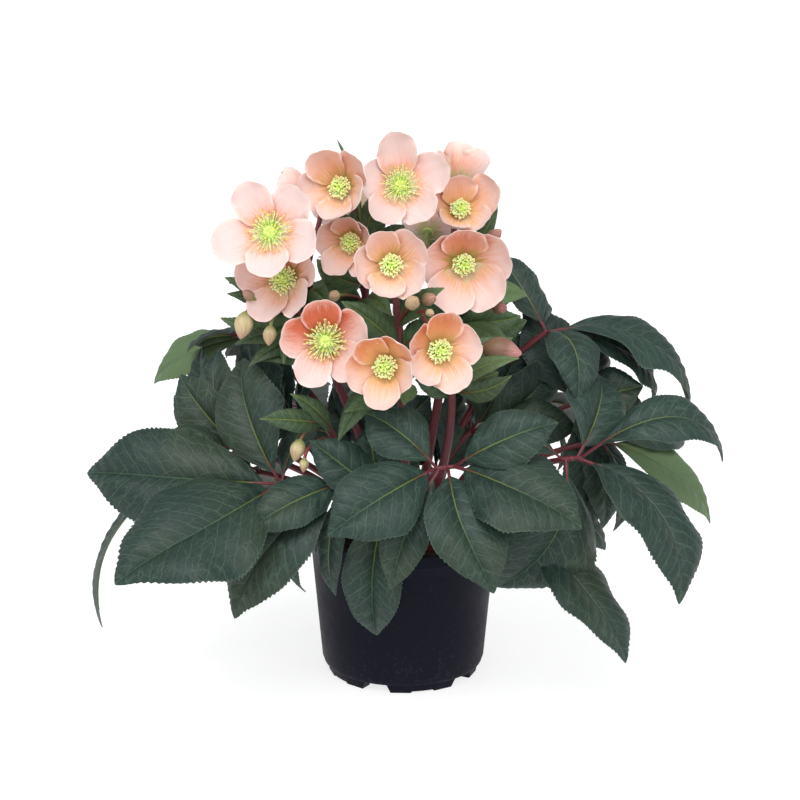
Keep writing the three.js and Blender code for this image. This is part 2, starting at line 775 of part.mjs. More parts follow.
// A point of the bowl that the sepals form, an arc length from the eye and an angle round it, lifted off
// the bowl towards the inside. The bowl's slope grows evenly from the eye to the rim.
function bowlPoint({ size, bowl }, arc, angle, lift) {
  const [first, last] = bowl.map(radians);
  const bend = (last - first) / size;
  const slope = first + bend * arc;
  const radius = (Math.sin(slope) - Math.sin(first)) / bend - lift * Math.sin(slope);
  const height = (Math.cos(first) - Math.cos(slope)) / bend + lift * Math.cos(slope);
  return new THREE.Vector3(radius * Math.cos(angle), radius * Math.sin(angle), height);
}

// Half the width of a sepal, as a share of its greatest: a narrow foot, broadest past the middle, and a
// round end.
function sepalOutline(u) {
  const widest = 0.6;
  if (u < widest) return Math.sin((Math.PI / 2) * (0.08 + (0.92 * u) / widest)) ** 1.25;
  return Math.sqrt(1 - (u - widest) ** 2 / (1.02 - widest) ** 2);
}

function sepal(bloom, frame, index) {
  const [left, right] = LAYERS[index];
  const turn = (2 * Math.PI * index) / LAYERS.length;
  const halfWidth = (bloom.size * bloom.width) / 2;
  const reach = bloom.size - SEPAL.start;
  const half = SEPAL.thickness / 2;
  const place = (u, v, lift) => {
    const wide = Math.max(SEPAL.baseHalfWidth, halfWidth * sepalOutline(u));
    const x = SEPAL.start + reach * u * (1 - 0.05 * v * v);
    const y = v * wide;
    const arc = Math.hypot(x, y);
    const rim = bowlPoint(bloom, arc, 0, 0).x;
    const angle = Math.atan2(y, x) * Math.min(1.5, arc / rim);
    const layer = SEPAL.layer * Math.abs(v) * (v < 0 ? left : right) * Math.min(1, 0.5 + 1.6 * u);
    return bowlPoint(bloom, arc, turn + angle, lift + layer).applyMatrix4(frame);
  };
  const rows = [[0, [-1, 1]], [0.34, [-1, 0, 1]], [0.68, [-1, 0, 1]], [0.93, [-1, 1]]];
  const surface = new Surface();
  const faces = [half, -half].map((lift) =>
    rows.map(([u, across]) => across.map((v) => [v, surface.add(place(u, v, lift))])),
  );
  faces.forEach((face, side) => {
    for (let k = 0; k + 1 < face.length; k++) surface.strip(face[k], face[k + 1], side === 1);
  });
  const edges = faces.map((face) => {
    const last = face.length - 1;
    const left = face.map((row) => row[0][1]);
    const right = face.map((row) => row.at(-1)[1]);
    return [...left, ...right.reverse()].map((vertex, i) => [i, vertex]).concat([[2 * last + 2, left[0]]]);
  });
  surface.strip(...edges, false);
  return surface.solid();
}

function sepals(bloom) {
  const frame = bloomFrame(bloom);
  const above = RECEPTACLE.above + 2.6 * Math.sin(radians(bloom.bowl[0]));
  const height = above + RECEPTACLE.below;
  const disc = new THREE.CylinderGeometry(RECEPTACLE.radius, 2.6, height, RECEPTACLE.sides);
  disc.rotateX(Math.PI / 2).translate(0, 0, above - height / 2).applyMatrix4(frame);
  return joined([solidOf(disc), ...LAYERS.map((_, index) => sepal(bloom, frame, index))]);
}

// The boss of the flower: carpels in the middle, stamens standing out all round and nectaries below, as
// one star-shaped body whose rings step in and out by turns.
function boss(bloom) {
  const frame = bloomFrame(bloom);
  const n = BOSS.columns;
  const spread = bloom.size * 0.36;
  const ring = (place) => Array.from({ length: n }, (_, i) => place((2 * Math.PI * i) / n, i % 2 === 0));
  const rings = [
    ring((angle) => bowlPoint(bloom, 3, angle, 1.7)),
    ring((angle, out) => bowlPoint(bloom, out ? spread : 0.55 * spread, angle, out ? 4.6 : 6.5)),
    ring((angle) => new THREE.Vector3(2.4 * Math.cos(angle), 2.4 * Math.sin(angle), 11)),
  ];
  return loft(rings.map((points) => points.map((p) => p.applyMatrix4(frame))));
}

// ---------------------------------------------------------------- flower stems

function stemCurve(course) {
  const [root, ...rest] = course;
  const start = new THREE.Vector3(...root, STRAIGHT_Z);
  const upright = start.clone().addScaledVector(UP, 0.4 * (rest[0][2] - STRAIGHT_Z));
  return new THREE.CatmullRomCurve3([start, upright, ...rest.map(vector)], false, "centripetal");
}

// A stalk from a place on a stem to an end that it reaches along a direction.
function stalk(curve, share, end, direction, startRadius, endRadius) {
  const start = curve.getPointAt(share);
  const span = start.distanceTo(end);
  const leaving = start.clone().addScaledVector(curve.getTangentAt(share), 0.3 * span);
  const arriving = end.clone().addScaledVector(direction, -0.35 * span);
  const course = new THREE.CubicBezierCurve3(start, leaving, arriving, end);
  return taperedStem(course, PEDICEL, startRadius, endRadius);
}

// A flower stem with its pedicels, buds and bracts.
function flowerStem({ course, blooms, buds, bracts }) {
  const curve = stemCurve(course);
  const pieces = [taperedStem(curve, STEM, STEM.foot, STEM.end, FOOT_Z)];
  for (const [name, share] of Object.entries(blooms)) {
    const frame = bloomFrame(BLOOMS[name]);
    const out = new THREE.Vector3().setFromMatrixColumn(frame, 2);
    const end = new THREE.Vector3(0, 0, -RECEPTACLE.below - GAP).applyMatrix4(frame);
    pieces.push(stalk(curve, share, end, out, PEDICEL.start, PEDICEL.end));
  }
  for (const [at, direction, length, share] of buds) {
    const axis = vector(direction).normalize();
    const base = vector(at);
    const centre = base.clone().addScaledVector(axis, 0.45 * length);
    pieces.push(stalk(curve, share, base, axis, 0.7 * PEDICEL.start, 0.8 * PEDICEL.end));
    pieces.push(egg(centre, axis, 0.34 * length, 0.54 * length, 5, 3));
  }
  for (const [share, tip, width] of bracts) {
    pieces.push(bract(curve.getPointAt(share), vector(tip), width));
  }
  return joined(pieces);
}

// ---------------------------------------------------------------- the plant in its pot

const plant = new THREE.Group();

function place(name, made, finish) {
  const { vertProperties, triVerts } = made.getMesh();
  const geometry = new THREE.BufferGeometry();
  geometry.setAttribute("position", new THREE.BufferAttribute(vertProperties, 3));
  geometry.setIndex(new THREE.BufferAttribute(triVerts, 1));
  geometry.computeVertexNormals();
  const material = new THREE.MeshStandardMaterial({ ...COLOURS[finish], metalness: 0 });
  const mesh = new THREE.Mesh(geometry, material);
  mesh.name = name;
  plant.add(mesh);
}

place("pot", pot(), "pot");
place("soil", soil(), "soil");
for (const [name, data] of Object.entries(LEAVES)) place(name, leaf(data), "leaf");
for (const [name, data] of Object.entries(BACK_LEAVES)) place(name, fanLeaf(data), "leaf");
for (const [name, data] of Object.entries(STEMS)) place(name, flowerStem(data), "stem");
for (const [name, data] of Object.entries(BLOOMS)) {
  place(`${name}_sepals`, sepals(data), "sepal");
  place(`${name}_boss`, boss(data), "boss");
}

export default plant;
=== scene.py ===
"""A hellebore in full bloom in its nursery pot: the visible pieces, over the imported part, in metres."""

import bpy
import numpy as np
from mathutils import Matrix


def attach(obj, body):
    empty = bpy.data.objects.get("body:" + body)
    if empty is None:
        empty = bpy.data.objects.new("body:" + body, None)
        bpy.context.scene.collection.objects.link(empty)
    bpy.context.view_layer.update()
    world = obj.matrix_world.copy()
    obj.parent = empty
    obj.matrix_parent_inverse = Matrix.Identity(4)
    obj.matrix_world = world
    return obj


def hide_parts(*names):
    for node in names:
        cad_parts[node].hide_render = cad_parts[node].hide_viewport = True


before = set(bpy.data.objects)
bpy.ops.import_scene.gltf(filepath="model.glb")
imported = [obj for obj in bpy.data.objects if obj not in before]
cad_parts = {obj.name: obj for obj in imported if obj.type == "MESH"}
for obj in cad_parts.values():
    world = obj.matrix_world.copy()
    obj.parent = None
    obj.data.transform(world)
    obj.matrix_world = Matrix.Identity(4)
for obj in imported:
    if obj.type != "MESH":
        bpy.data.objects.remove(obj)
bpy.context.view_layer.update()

# ---- Camera ---------------------------------------------------------------------------------------
# A long lens a little above the flowers, tipped down on the plant, so that the rim and the foot of the
# pot show as flat ellipses.


def put(name, data):
    """An object with this data, in the scene."""
    made = bpy.data.objects.new(name, data)
    bpy.context.scene.collection.objects.link(made)
    return made


camera = put("camera", bpy.data.cameras.new("camera"))
camera.data.lens = 95
camera.data.sensor_width = 36
camera.data.clip_end = 60
camera.location = (-0.0028, -1.8395, 0.7305)
camera.rotation_euler = (np.radians(75.5), 0, 0)
bpy.context.scene.camera = camera

# ---- Pot ------------------------------------------------------------------------------------------
# A round nursery pot, thermoformed from black plastic with a faint violet cast: a band round the
# mouth, a tapering wall, and five low feet with a shallow recess under each.


def node(kind, values=(), tree=None, **settings):
    """A new shader node, with its inputs set or linked. Its tree is the one given, or else that of the
    first value that another node puts out."""
    values = dict(values)
    linked = {key: value for key, value in values.items() if isinstance(value, bpy.types.NodeSocket)}
    tree = tree or next(iter(linked.values())).id_data
    made = tree.nodes.new(kind if kind.startswith("Node") else "ShaderNode" + kind)
    for key, value in settings.items():
        setattr(made, key, value)
    for key, value in values.items():
        if key in linked:
            tree.links.new(value, made.inputs[key])
        else:
            made.inputs[key].default_value = value
    return made


def math(operation, *values):
    return node("Math", enumerate(values), operation=operation).outputs[0]


def times(value, factor, more=None):
    """A value times a factor, with more added if it is given."""
    return math("MULTIPLY", value, factor) if more is None else math("MULTIPLY_ADD", value, factor, more)


def less(value, other):
    return math("SUBTRACT", value, other)


def mix(share, first, second):
    """Two colours, mixed by a share."""
    colours = [(*c, 1) if isinstance(c, tuple) else c for c in (first, second)]
    return node("Mix", {0: share, 6: colours[0], 7: colours[1]}, data_type="RGBA").outputs[2]


def step(value, low, high, start=0.0, end=1.0):
    """A smooth step from start to end, as the value goes from low to high."""
    inputs = enumerate((value, low, high, start, end))
    return node("MapRange", inputs, interpolation_type="SMOOTHSTEP").outputs[0]


def noise(vector, scale, detail=3.0):
    return node("TexNoise", {"Vector": vector, "Scale": scale, "Detail": detail}).outputs[0]


def join(*values):
    return node("CombineXYZ", enumerate(values)).outputs[0]


def bump(height, distance, strength=1.0):
    return node("Bump", {"Height": height, "Distance": distance, "Strength": strength}).outputs[0]


def read(shader, name):
    """The three numbers that the mesh holds under this name at each point."""
    vector = node("Attribute", tree=shader.id_data, attribute_name=name).outputs["Vector"]
    return node("SeparateXYZ", {0: vector}).outputs


def coordinates(shader):
    return node("TexCoord", tree=shader.id_data).outputs["Object"]


def feed(shader, **values):
    """Links values that nodes put out to the shader's inputs."""
    for key, value in values.items():
        shader.id_data.links.new(value, shader.inputs[key.replace("_", " ")])


def new_group(name, inputs, outputs):
    """An empty shader node group with number sockets, and what it is given; its input Place is a vector."""
    tree = bpy.data.node_groups.new(name, "ShaderNodeTree")
    for direction, sockets in (("INPUT", inputs), ("OUTPUT", outputs)):
        for socket in sockets:
            kind = "NodeSocketVector" if socket == "Place" else "NodeSocketFloat"
            tree.interface.new_socket(socket, in_out=direction, socket_type=kind)
    return tree, node("NodeGroupInput", tree=tree).outputs


def new_finish(name, **values):
    """A material and its shader, with its plain values set on the shader itself."""
    material = bpy.data.materials.new(name)
    material.use_nodes = True
    shader = material.node_tree.nodes["Principled BSDF"]
    for key, value in values.items():
        shader.inputs[key.replace("_", " ")].default_value = value
    return material, shader


# Soft blotches: broad and fine noise, mixed three to two, from 0 to 1 round a half.
blotches, given = new_group("blotches", ["Place", "Scale", "Strength"], ["Share"])
broad = noise(given["Place"], given["Scale"], 4.0)
fine = noise(given["Place"], times(given["Scale"], 5.3), 2.0)
centred = less(times(broad, 0.6, times(fine, 0.4)), 0.5)
node("NodeGroupOutput", {"Share": times(centred, given["Strength"], 0.5)})


def blotchy(where, scale, strength):
    inputs = {"Place": where, "Scale": scale, "Strength": strength}
    return node("Group", inputs, node_tree=blotches).outputs[0]


def full_turn(count):
    return np.linspace(0, 2 * np.pi, count, endpoint=False)


def grid_of(x, y, z):
    """Points from their coordinates, each of which is a number, a row, a column or a whole grid."""
    return np.stack(np.broadcast_arrays(x, y, z), -1)


def ring_quads(rows, columns):
    """A quad between each two neighbours in two rows of a grid whose rows close on themselves."""
    here = np.arange(rows - 1)[:, None] * columns + np.arange(columns)
    beside = np.arange(rows - 1)[:, None] * columns + (np.arange(columns) + 1) % columns
    return np.stack([here, beside, beside + columns, here + columns], -1).reshape(-1, 4)


class Piece:
    """A piece while its parts are gathered: points in millimetres, faces, the finish of each face, and
    two sets of three numbers at each point, place and tone, which the finishes read."""

    def __init__(self, name):
        self.name = name
        self.points, self.place, self.tone = [], [], []
        self.faces, self.finish = [], []
        self.count = 0

    def skin(self, grid, place, tone, finish=0):
        """Closed skins over grids of points whose rows close on themselves, one grid or many at once,
        with one more face over each end row. A skin is turned round if its volume, the sum of the wedges
        between its first point and its quads, is negative."""
        rows, columns = grid.shape[-3:-1]
        quads = ring_quads(rows, columns)
        ends = [np.arange(columns)[::-1], np.arange(columns) + (rows - 1) * columns]
        bodies = grid.reshape(-1, rows * columns, 3)
        a, b, c, d = ((bodies - bodies[:, :1])[:, quads[:, k]] for k in range(4))
        volumes = np.einsum("nqi,nqi->n", np.cross(c - a, d - b), a + b + c + d)
        for volume in volumes:
            flip = -1 if volume < 0 else 1
            self.faces += (quads[:, ::flip] + self.count).tolist()
            self.faces += [(end[::flip] + self.count).tolist() for end in ends]
            self.finish += [finish] * (len(quads) + 2)
            self.count += rows * columns
        self.points.append(grid.reshape(-1, 3))
        for store, value in ((self.place, place), (self.tone, tone)):
            parts = np.broadcast_arrays(*[np.asarray(v, float) for v in value], grid[..., 0])[:3]
            store.append(np.stack(parts, -1).reshape(-1, 3))

    def build(self, slot, finishes, nodes, crease=50):
        """The mesh object of the piece, which stands for the CAD nodes, if any. Edges sharper than the
        crease angle stay sharp."""
        mesh = bpy.data.meshes.new(self.name)
        mesh.from_pydata((np.concatenate(self.points) * 0.001).tolist(), [], self.faces)
        for name, values in (("place", self.place), ("tone", self.tone)):
            held = mesh.attributes.new(name, "FLOAT_VECTOR", "POINT")
            held.data.foreach_set("vector", np.concatenate(values).astype(np.float32).ravel())
        for material in finishes:
            mesh.materials.append(material)
        mesh.polygons.foreach_set("material_index", self.finish)
        mesh.polygons.foreach_set("use_smooth", [True] * len(self.faces))
        mesh.set_sharp_from_angle(angle=np.radians(crease))
        made = put(self.name, mesh)
        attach(made, "root")
        if nodes:
            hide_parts(*nodes)


# The pot's profile from the middle of its floor, up outside and down inside, and a foot's: radius and
# level in millimetres.
POT_SKIN = [
    (3, 8.8), (62, 8.2), (70, 8), (71.8, 8.5), (72.9, 9.9), (73.4, 11.6), (74.6, 15), (77.5, 47),
    (80.4, 80), (83.2, 110), (84.3, 121.9), (84.7, 122.5), (85.6, 122.7), (86, 123.2), (86.1, 128),
    (86.2, 133.2), (85.9, 134.1), (85.2, 134.5), (84.1, 134.5), (83.4, 134.2), (83.1, 133.4),
    (82.4, 120), (77.5, 66), (72.8, 15), (72, 12.6), (70, 11.3), (60, 11.2), (3, 11.2),
]
FOOT_SKIN = [(58.4, 9.4), (56.7, 0.5), (57.2, 0), (68, 0), (68.6, 0.6), (69.6, 5), (70.5, 8), (70.5, 9.6)]
# The stops along a foot, as shares of half its arc; the number of feet, the turn of the first one and half
# a foot's arc at its underside, in degrees; and the depth of the recess, in millimetres.
FOOT_REACH = [-1, -0.985, -0.4, -0.36, -0.33, -0.2, 0, 0.2, 0.33, 0.36, 0.4, 0.985, 1]
FOOT_COUNT, FOOT_TURN, HALF_FOOT, RECESS = 5, 15, 24.5, 1.7

pot = Piece("pot_shell")
turn = full_turn(168)
radius, height = np.array(POT_SKIN, float).T[..., None]
pot.skin(grid_of(radius * np.sin(turn), -radius * np.cos(turn), height), (radius, height, 0), (0, 0, 0))
radius, height = np.array(FOOT_SKIN, float).T
reach = np.radians(FOOT_REACH)[:, None]
level = np.maximum(height, np.interp(np.abs(reach), np.radians([0, 0.34, 0.37]), [RECESS, RECESS, 0]))
for foot in range(FOOT_COUNT):
    # A foot is its profile swept over an arc, longer above; its middle is set back from the floor.
    arc = reach * (HALF_FOOT + 0.35 * height) + np.radians(FOOT_TURN + 360 / FOOT_COUNT * foot)
    pot.skin(grid_of(radius * np.sin(arc), -radius * np.cos(arc), level), (radius, level, 1), (0, 0, 0))

pot_plastic, shader = new_finish("pot plastic", Specular_IOR_Level=0.1, Specular_Tint=(0.8, 0.8, 1, 1))
where = coordinates(shader)
cloud = blotchy(where, 16.0, 1.6)
dust = step(noise(where, 260.0, 6.0), 0.52, 0.78)
foot_dust = step(node("SeparateXYZ", {0: where}).outputs[2], 0.0, 0.05, 1.0, 0.0)
tint = mix(cloud, (0.0034, 0.0036, 0.0074), (0.0062, 0.0062, 0.0125))
dusty = times(dust, times(foot_dust, 0.3, 0.1))
colour = mix(dusty, tint, (0.05, 0.048, 0.065))
stretched = node("Mapping", {"Vector": where, "Scale": (1, 1, 0.06)}).outputs[0]
scuff = step(noise(stretched, 420.0, 4.0), 0.56, 0.75)
grain = times(scuff, -0.5, noise(where, 900.0, 2.0))
feed(shader, Base_Color=colour, Roughness=step(cloud, 0.2, 0.8, 0.46, 0.6), Normal=bump(grain, 0.0002, 0.5))
pot.build("pot", [pot_plastic], ["pot"], crease=32)

# ---- Soil -----------------------------------------------------------------------------------------
# Damp peat that fills the pot to just under its mouth. Its top is lumpy, with loose crumbs on it.

# In millimetres: the peat's level, its radius there and the radius within which crumbs lie. Of the crumbs,
# the ones that fall outside that radius are left out.
PEAT_TOP, PEAT_EDGE, CRUMB_REACH, CRUMBS = 122, 83, 78, 260
chance = np.random.default_rng(7)


def peat_level(x, y, radius):
    """The peat's top. Its lumps are a product of two sines with a third one across, and finer ones on
    top, and they fade out over the last 20 mm to the pot's wall."""
    broad = np.sin(0.11 * x + 1.3) * np.cos(0.09 * y - 0.4) + 0.5 * np.sin(0.21 * (x + y))
    lumps = 2.2 * broad + 0.8 * np.sin(0.5 * x + 2 * np.sin(0.3 * y)) * np.cos(0.44 * y - 1)
    return PEAT_TOP + lumps * np.clip((PEAT_EDGE - radius) / 20, 0, 1)


def unit(vectors):
    return vectors / np.linalg.norm(vectors, axis=-1, keepdims=True)


def egg(centre, axis, radius, half, rows, columns):
    """A closed egg round an axis: circles whose radius is the sine of the way from pole to pole."""
    across = unit(np.cross(axis, np.where(np.abs(axis[..., 2:]) < 0.9, [0, 0, 1.0], [1.0, 0, 0])))
    third = np.cross(axis, across)
    way = np.linspace(0.06, 0.94, rows)[:, None] * np.pi
    around = full_turn(columns)
    flat = radius * np.sin(way)
    sides = across * (flat * np.cos(around))[..., None], third * (flat * np.sin(around))[..., None]
    return centre - axis * (half * np.cos(way))[..., None] + sides[0] + sides[1]


soil = Piece("soil_peat")
radius = np.concatenate([[3, 69, 72.4], np.linspace(81.6, 1.5, 46)])[:, None]
turn = full_turn(120)
x, y = radius * np.sin(turn), -radius * np.cos(turn)
level = peat_level(x, y, radius)
level[:3] = [[11.7], [11.7], [15]]
soil.skin(grid_of(x, y, level), (x, y, 0), (0, 0, 0))
for _ in range(CRUMBS):
    x, y = chance.uniform(-CRUMB_REACH, CRUMB_REACH, 2)
    radius = np.hypot(x, y)
    if radius > CRUMB_REACH:
        continue
    place = np.array([x, y, peat_level(x, y, radius) + 0.5])
    lump = egg(place, unit(chance.normal(size=3)), chance.uniform(0.9, 2.2), chance.uniform(1.2, 3), 5, 7)
    soil.skin(lump, (0, 0, 1), (chance.random(), 0, 0))

peat, shader = new_finish("peat", Roughness=0.93, Specular_IOR_Level=0.2)
where = coordinates(shader)
crumbs = blotchy(where, 90.0, 2.4)
fibres = step(noise(where, 700.0, 4.0), 0.6, 0.75)
colour = mix(crumbs, (0.012, 0.008, 0.006), (0.05, 0.032, 0.02))
colour = mix(times(fibres, 0.5), colour, (0.16, 0.11, 0.07))
feed(shader, Base_Color=colour, Normal=bump(crumbs, 0.003))
soil.build("soil", [peat], ["soil"])

# ---- Leaves ---------------------------------------------------------------------------------------
# Leathery hand-shaped leaves. Each has a round red petiole out of the soil and toothed leaflets on
# short red stalks round its end, or round a short bar there. The blade is dark blue-green with a net
# of pale veins over a quilted surface; below it is pale and dull.

# Two leaves have a bar at their hub: half its length. Each leaf: where the petiole leaves the soil, its
# hub, and each leaflet's tip, width, arch as a share of its length, roll and fold in degrees, how light it
# is, a value that holds painted light and shade as well as the leaflet's own tone, and for some how far
# it bows to its left, as a share of its length.
BARS = {"leaf_front": [9, 0, 1], "leaf_right_front": [9, 3, 0]}
LEAVES = {
    "leaf_front": ([8, -37], [35, -135, 231], [
        [-63, -192, 190, 60, 0.1, -6, 6, 0.55], [-33, -112, 274, 46, 0.14, -4, 4, 0.6],
        [130, -146, 275, 44, 0.16, 6, 4, 0.55], [147, -200, 201, 74, 0.1, 0, 6, 0.5],
        [76, -210, 145, 58, 0.16, 0, 6, 0.55, 0.12], [-12, -172, 134, 38, 0.1, 0, 8, 0.5],
    ]),
    "leaf_right_front": ([32, -22], [145, -90, 226], [
        [176, -8, 284, 58, 0.12, 0, 10, 0.5], [288, -50, 214, 46, 0.36, 0, 8, 0.55, -0.02],
        [237, -174, 124, 82, 0.16, 4, 4, 0.45, -0.08], [80, -132, 120, 82, 0.14, 0, 4, 0.35, -0.12],
        [84, -100, 250, 26, 0.08, 0, 4, 0.5],
    ]),
    "leaf_right_low": ([24, -33], [106, -74, 160], [
        [197, -142, 59, 66, 0.14, 2, 6, 0.5, 0.12], [50, -96, 120, 30, 0.2, 0, 6, 0.3],
        [186, -30, 124, 36, 0.2, 10, 6, 0.4],
    ]),
    "leaf_right_high": ([30, 22], [128, 12, 314], [
        [269, 22, 236, 68, 0.22, 14, 8, 0.55], [152, -70, 270, 44, 0.24, 40, 6, 0.45],
        [238, 60, 240, 50, 0.2, 20, 8, 0.4], [84, 40, 382, 46, 0.08, -40, 8, 0.45],
        [98, 62, 350, 44, 0.1, -20, 8, 0.4],
    ]),
    "leaf_right_mid": ([38, 0], [176, -18, 222], [
        [262, 50, 208, 40, 0.16, 10, 6, 0.5], [284, -14, 145, 52, 0.1, 20, 4, 0.85],
        [190, -56, 148, 42, 0.14, 0, 6, 0.4], [196, 76, 250, 36, 0.12, 0, 6, 0.5],
    ]),
    "leaf_left_front": ([-25, -30], [-105, -95, 204], [
        [-281, -70, 210, 82, 0.1, -16, 4, 0.4, -0.04], [-240, -196, 153, 102, 0.08, -18, 6, 0.5, -0.07],
        [-144, -30, 304, 56, 0.12, 0, 10, 0.45], [-74, -40, 256, 32, 0.1, 0, 8, 0.5],
    ]),
    "leaf_left_mid": ([-36, -12], [-144, -40, 219], [
        [-167, 4, 304, 46, 0.12, 0, 8, 0.5], [-200, -20, 284, 40, 0.1, 0, 14, 0.45],
        [-226, -64, 222, 40, 0.12, -40, 8, 0.5], [-294, 22, 30, 32, 0.16, 0, 16, 0.35],
    ]),
    "leaf_left_high": ([-36, 10], [-138, 40, 303], [
        [-234, 52, 259, 44, 0.12, -40, 6, 0.85], [-196, 6, 300, 36, 0.12, -10, 6, 0.4],
        [-206, 112, 250, 38, 0.14, -10, 6, 0.6], [-146, 124, 270, 38, 0.12, 0, 6, 0.5],
    ]),
    "leaf_front_left": ([-12, -38], [-50, -112, 210], [
        [-130, -158, 184, 42, 0.14, -16, 4, 0.6], [-148, -156, 104, 68, 0.12, 0, 6, 0.4, 0.03],
        [-60, -128, 112, 22, 0.1, 0, 6, 0.4], [-88, -112, 108, 24, 0.3, 0, 6, 0.4, 0.1],
    ]),
    "leaf_front_low": ([-2, -40], [-14, -104, 194], [
        [-24, -124, 73, 46, 0.14, 0, 20, 0.45], [-80, -114, 250, 40, 0.14, -10, 6, 0.5],
        [-30, -96, 260, 36, 0.1, 0, 6, 0.55],
    ]),
}

# The leaves at the back follow a rule: five leaflets fan out round a heading and droop below the hub.
# The fan's rows: how far each leaflet spreads in degrees, its length and its width. Each leaf: root, hub,
# heading and how far it droops.
FAN = [(-96, 84, 38), (-50, 110, 48), (0, 122, 52), (50, 110, 48), (96, 84, 38)]
BACK_LEAVES = {
    "leaf_back_right": ([22, 34], [104, 98, 226], 40, 66),
    "leaf_back": ([2, 40], [6, 104, 262], 88, 66),
    "leaf_back_left": ([-20, 34], [-92, 96, 222], 132, 60),
    "leaf_left_back": ([-34, 30], [-132, 50, 172], 174, 54),
}
for name, (root, hub, heading, drop) in BACK_LEAVES.items():
    rows = []
    for k, (spread, length, width) in enumerate(FAN):
        angle = np.radians(heading + spread)
        fall = drop * (0.8 + 0.25 * np.sin(2.4 * k + hub[0]))
        x, y = hub[0] + 0.92 * length * np.cos(angle), hub[1] + 0.92 * length * np.sin(angle)
        rows.append([x, y, hub[2] - fall, width, 0.2, 0, 8, 0.45 + 0.1 * (k % 2)])
    LEAVES[name] = (root, hub, rows)

# Younger leaves fill the crown behind the flower stems. Each: root, hub, and each leaflet's tip, width,
# arch and roll.
CROWN_LEAVES = {
    "crown_leaf_right": ([22, 14], [61, 20, 219], [
        [145, 34, 293, 50, 0.16, 30], [112, 24, 312, 54, 0.06, 10], [41, 40, 306, 38, 0.08, 60],
        [162, 6, 227, 44, 0.2, 0], [106, -4, 190, 38, 0.18, 0],
    ]),
    "crown_leaf_far_right": ([36, 12], [155, 30, 243], [
        [180, 40, 303, 44, 0.1, 30], [218, 10, 266, 42, 0.2, 10], [126, 50, 294, 42, 0.1, 50],
        [112, 46, 336, 60, 0.06, 0], [149, 50, 312, 54, 0.06, 0], [179, 0, 197, 40, 0.2, 0],
        [224, 20, 221, 40, 0.24, 0], [184, -16, 136, 48, 0.16, 0], [158, -24, 130, 56, 0.16, 0],
    ]),
    "crown_leaf_left": ([-24, 14], [-94, 20, 223], [
        [-143, 30, 316, 54, 0.12, -30], [-108, 44, 322, 50, 0.1, -30], [-66, 36, 310, 46, 0.1, -30],
        [-46, -4, 213, 42, 0.2, 0], [-152, 10, 230, 40, 0.2, 0],
    ]),
    "crown_leaf_middle": ([-4, 12], [-28, 0, 206], [
        [-66, 14, 265, 42, 0.1, -50], [-16, 24, 275, 40, 0.08, 0], [26, 16, 255, 40, 0.1, 50],
        [17, -20, 188, 36, 0.2, 0],
    ]),
    "crown_leaf_low": ([10, 16], [30, 20, 179], [
        [6, 36, 249, 50, 0.1, 30], [45, 36, 268, 56, 0.06, 30], [65, 30, 228, 44, 0.1, 20],
        [-10, 20, 212, 44, 0.1, 20],
    ]),
    "crown_leaf_far_left": ([-38, 14], [-150, 10, 218], [
        [-184, 20, 301, 48, 0.12, -30], [-208, 0, 259, 40, 0.2, -20], [-128, 26, 293, 46, 0.1, -50],
        [-193, 0, 189, 40, 0.2, 0],
    ]),
}
for name, (root, hub, rows) in CROWN_LEAVES.items():
    LEAVES[name] = (root, hub, [[*row, 8, 0.3 + 0.1 * (k % 3)] for k, row in enumerate(rows)])


def leaf_outline(u):
    """Half a leaflet's width as a share of its greatest: the sine of the way to the widest place, at
    0.48, and then the cosine of the way on to the tip, to the power 0.82, a little drawn in before it."""
    rise = np.sin(np.pi / 2 * np.clip(u / 0.48, 0, 1)) ** 0.95
    fall = np.cos(np.pi / 2 * np.clip((u - 0.48) / 0.52, 0, 1)) ** 0.82
    return np.where(u < 0.48, rise, fall) * (1 - 0.2 * np.exp(-(((u - 0.93) / 0.07) ** 2)))


def leaflet_frame(start, tip, arch, roll, fold, sway, lean):
    """The curved frame of a leaflet. The midrib is a parabola from start to tip that stands off the
    straight line by arch times its length, with a sideways bend of half a sine. The face looks up
    and away from the pot's axis alike, with a lean to the front, turned by roll about the line, and
    both halves fold up."""
    chord = tip - start
    length = np.linalg.norm(chord)
    along = chord / length
    face = unit(unit(start * [1, 1, 0]) + [0, -lean, 1])
    face = unit(face - along * (face @ along))
    turn = np.radians(roll)
    face = face * np.cos(turn) + np.cross(along, face) * np.sin(turn)
    side = unit(np.cross(along, face))
    control = (start + tip) / 2 + 2 * arch * length * face
    rise = np.tan(np.radians(fold + 4))

    def point(share, across, lift):
        share, across, lift = np.broadcast_arrays(share, across, lift)
        t = share[..., None]
        middle = (1 - t) ** 2 * start + 2 * t * (1 - t) * control + t**2 * tip
        up = unit(np.cross(side, (1 - t) * (control - start) + t * (tip - control)))
        aside = across + sway * length * np.sin(np.pi * share)
        return middle + side * aside[..., None] + up * (lift + np.abs(across) * rise)[..., None]

    return point, length


def two_sides(count, power):
    """From margin to margin of a blade or a sepal over its upper side, and back below: -1 to 1, to a
    power that draws the points in or out, and 1 above, 0 below."""
    t = np.linspace(-1, 1, count)
    v = np.sign(t) * np.abs(t) ** power
    return np.concatenate([v, v[::-1]])[None], np.repeat([1.0, 0.0], count)[None]


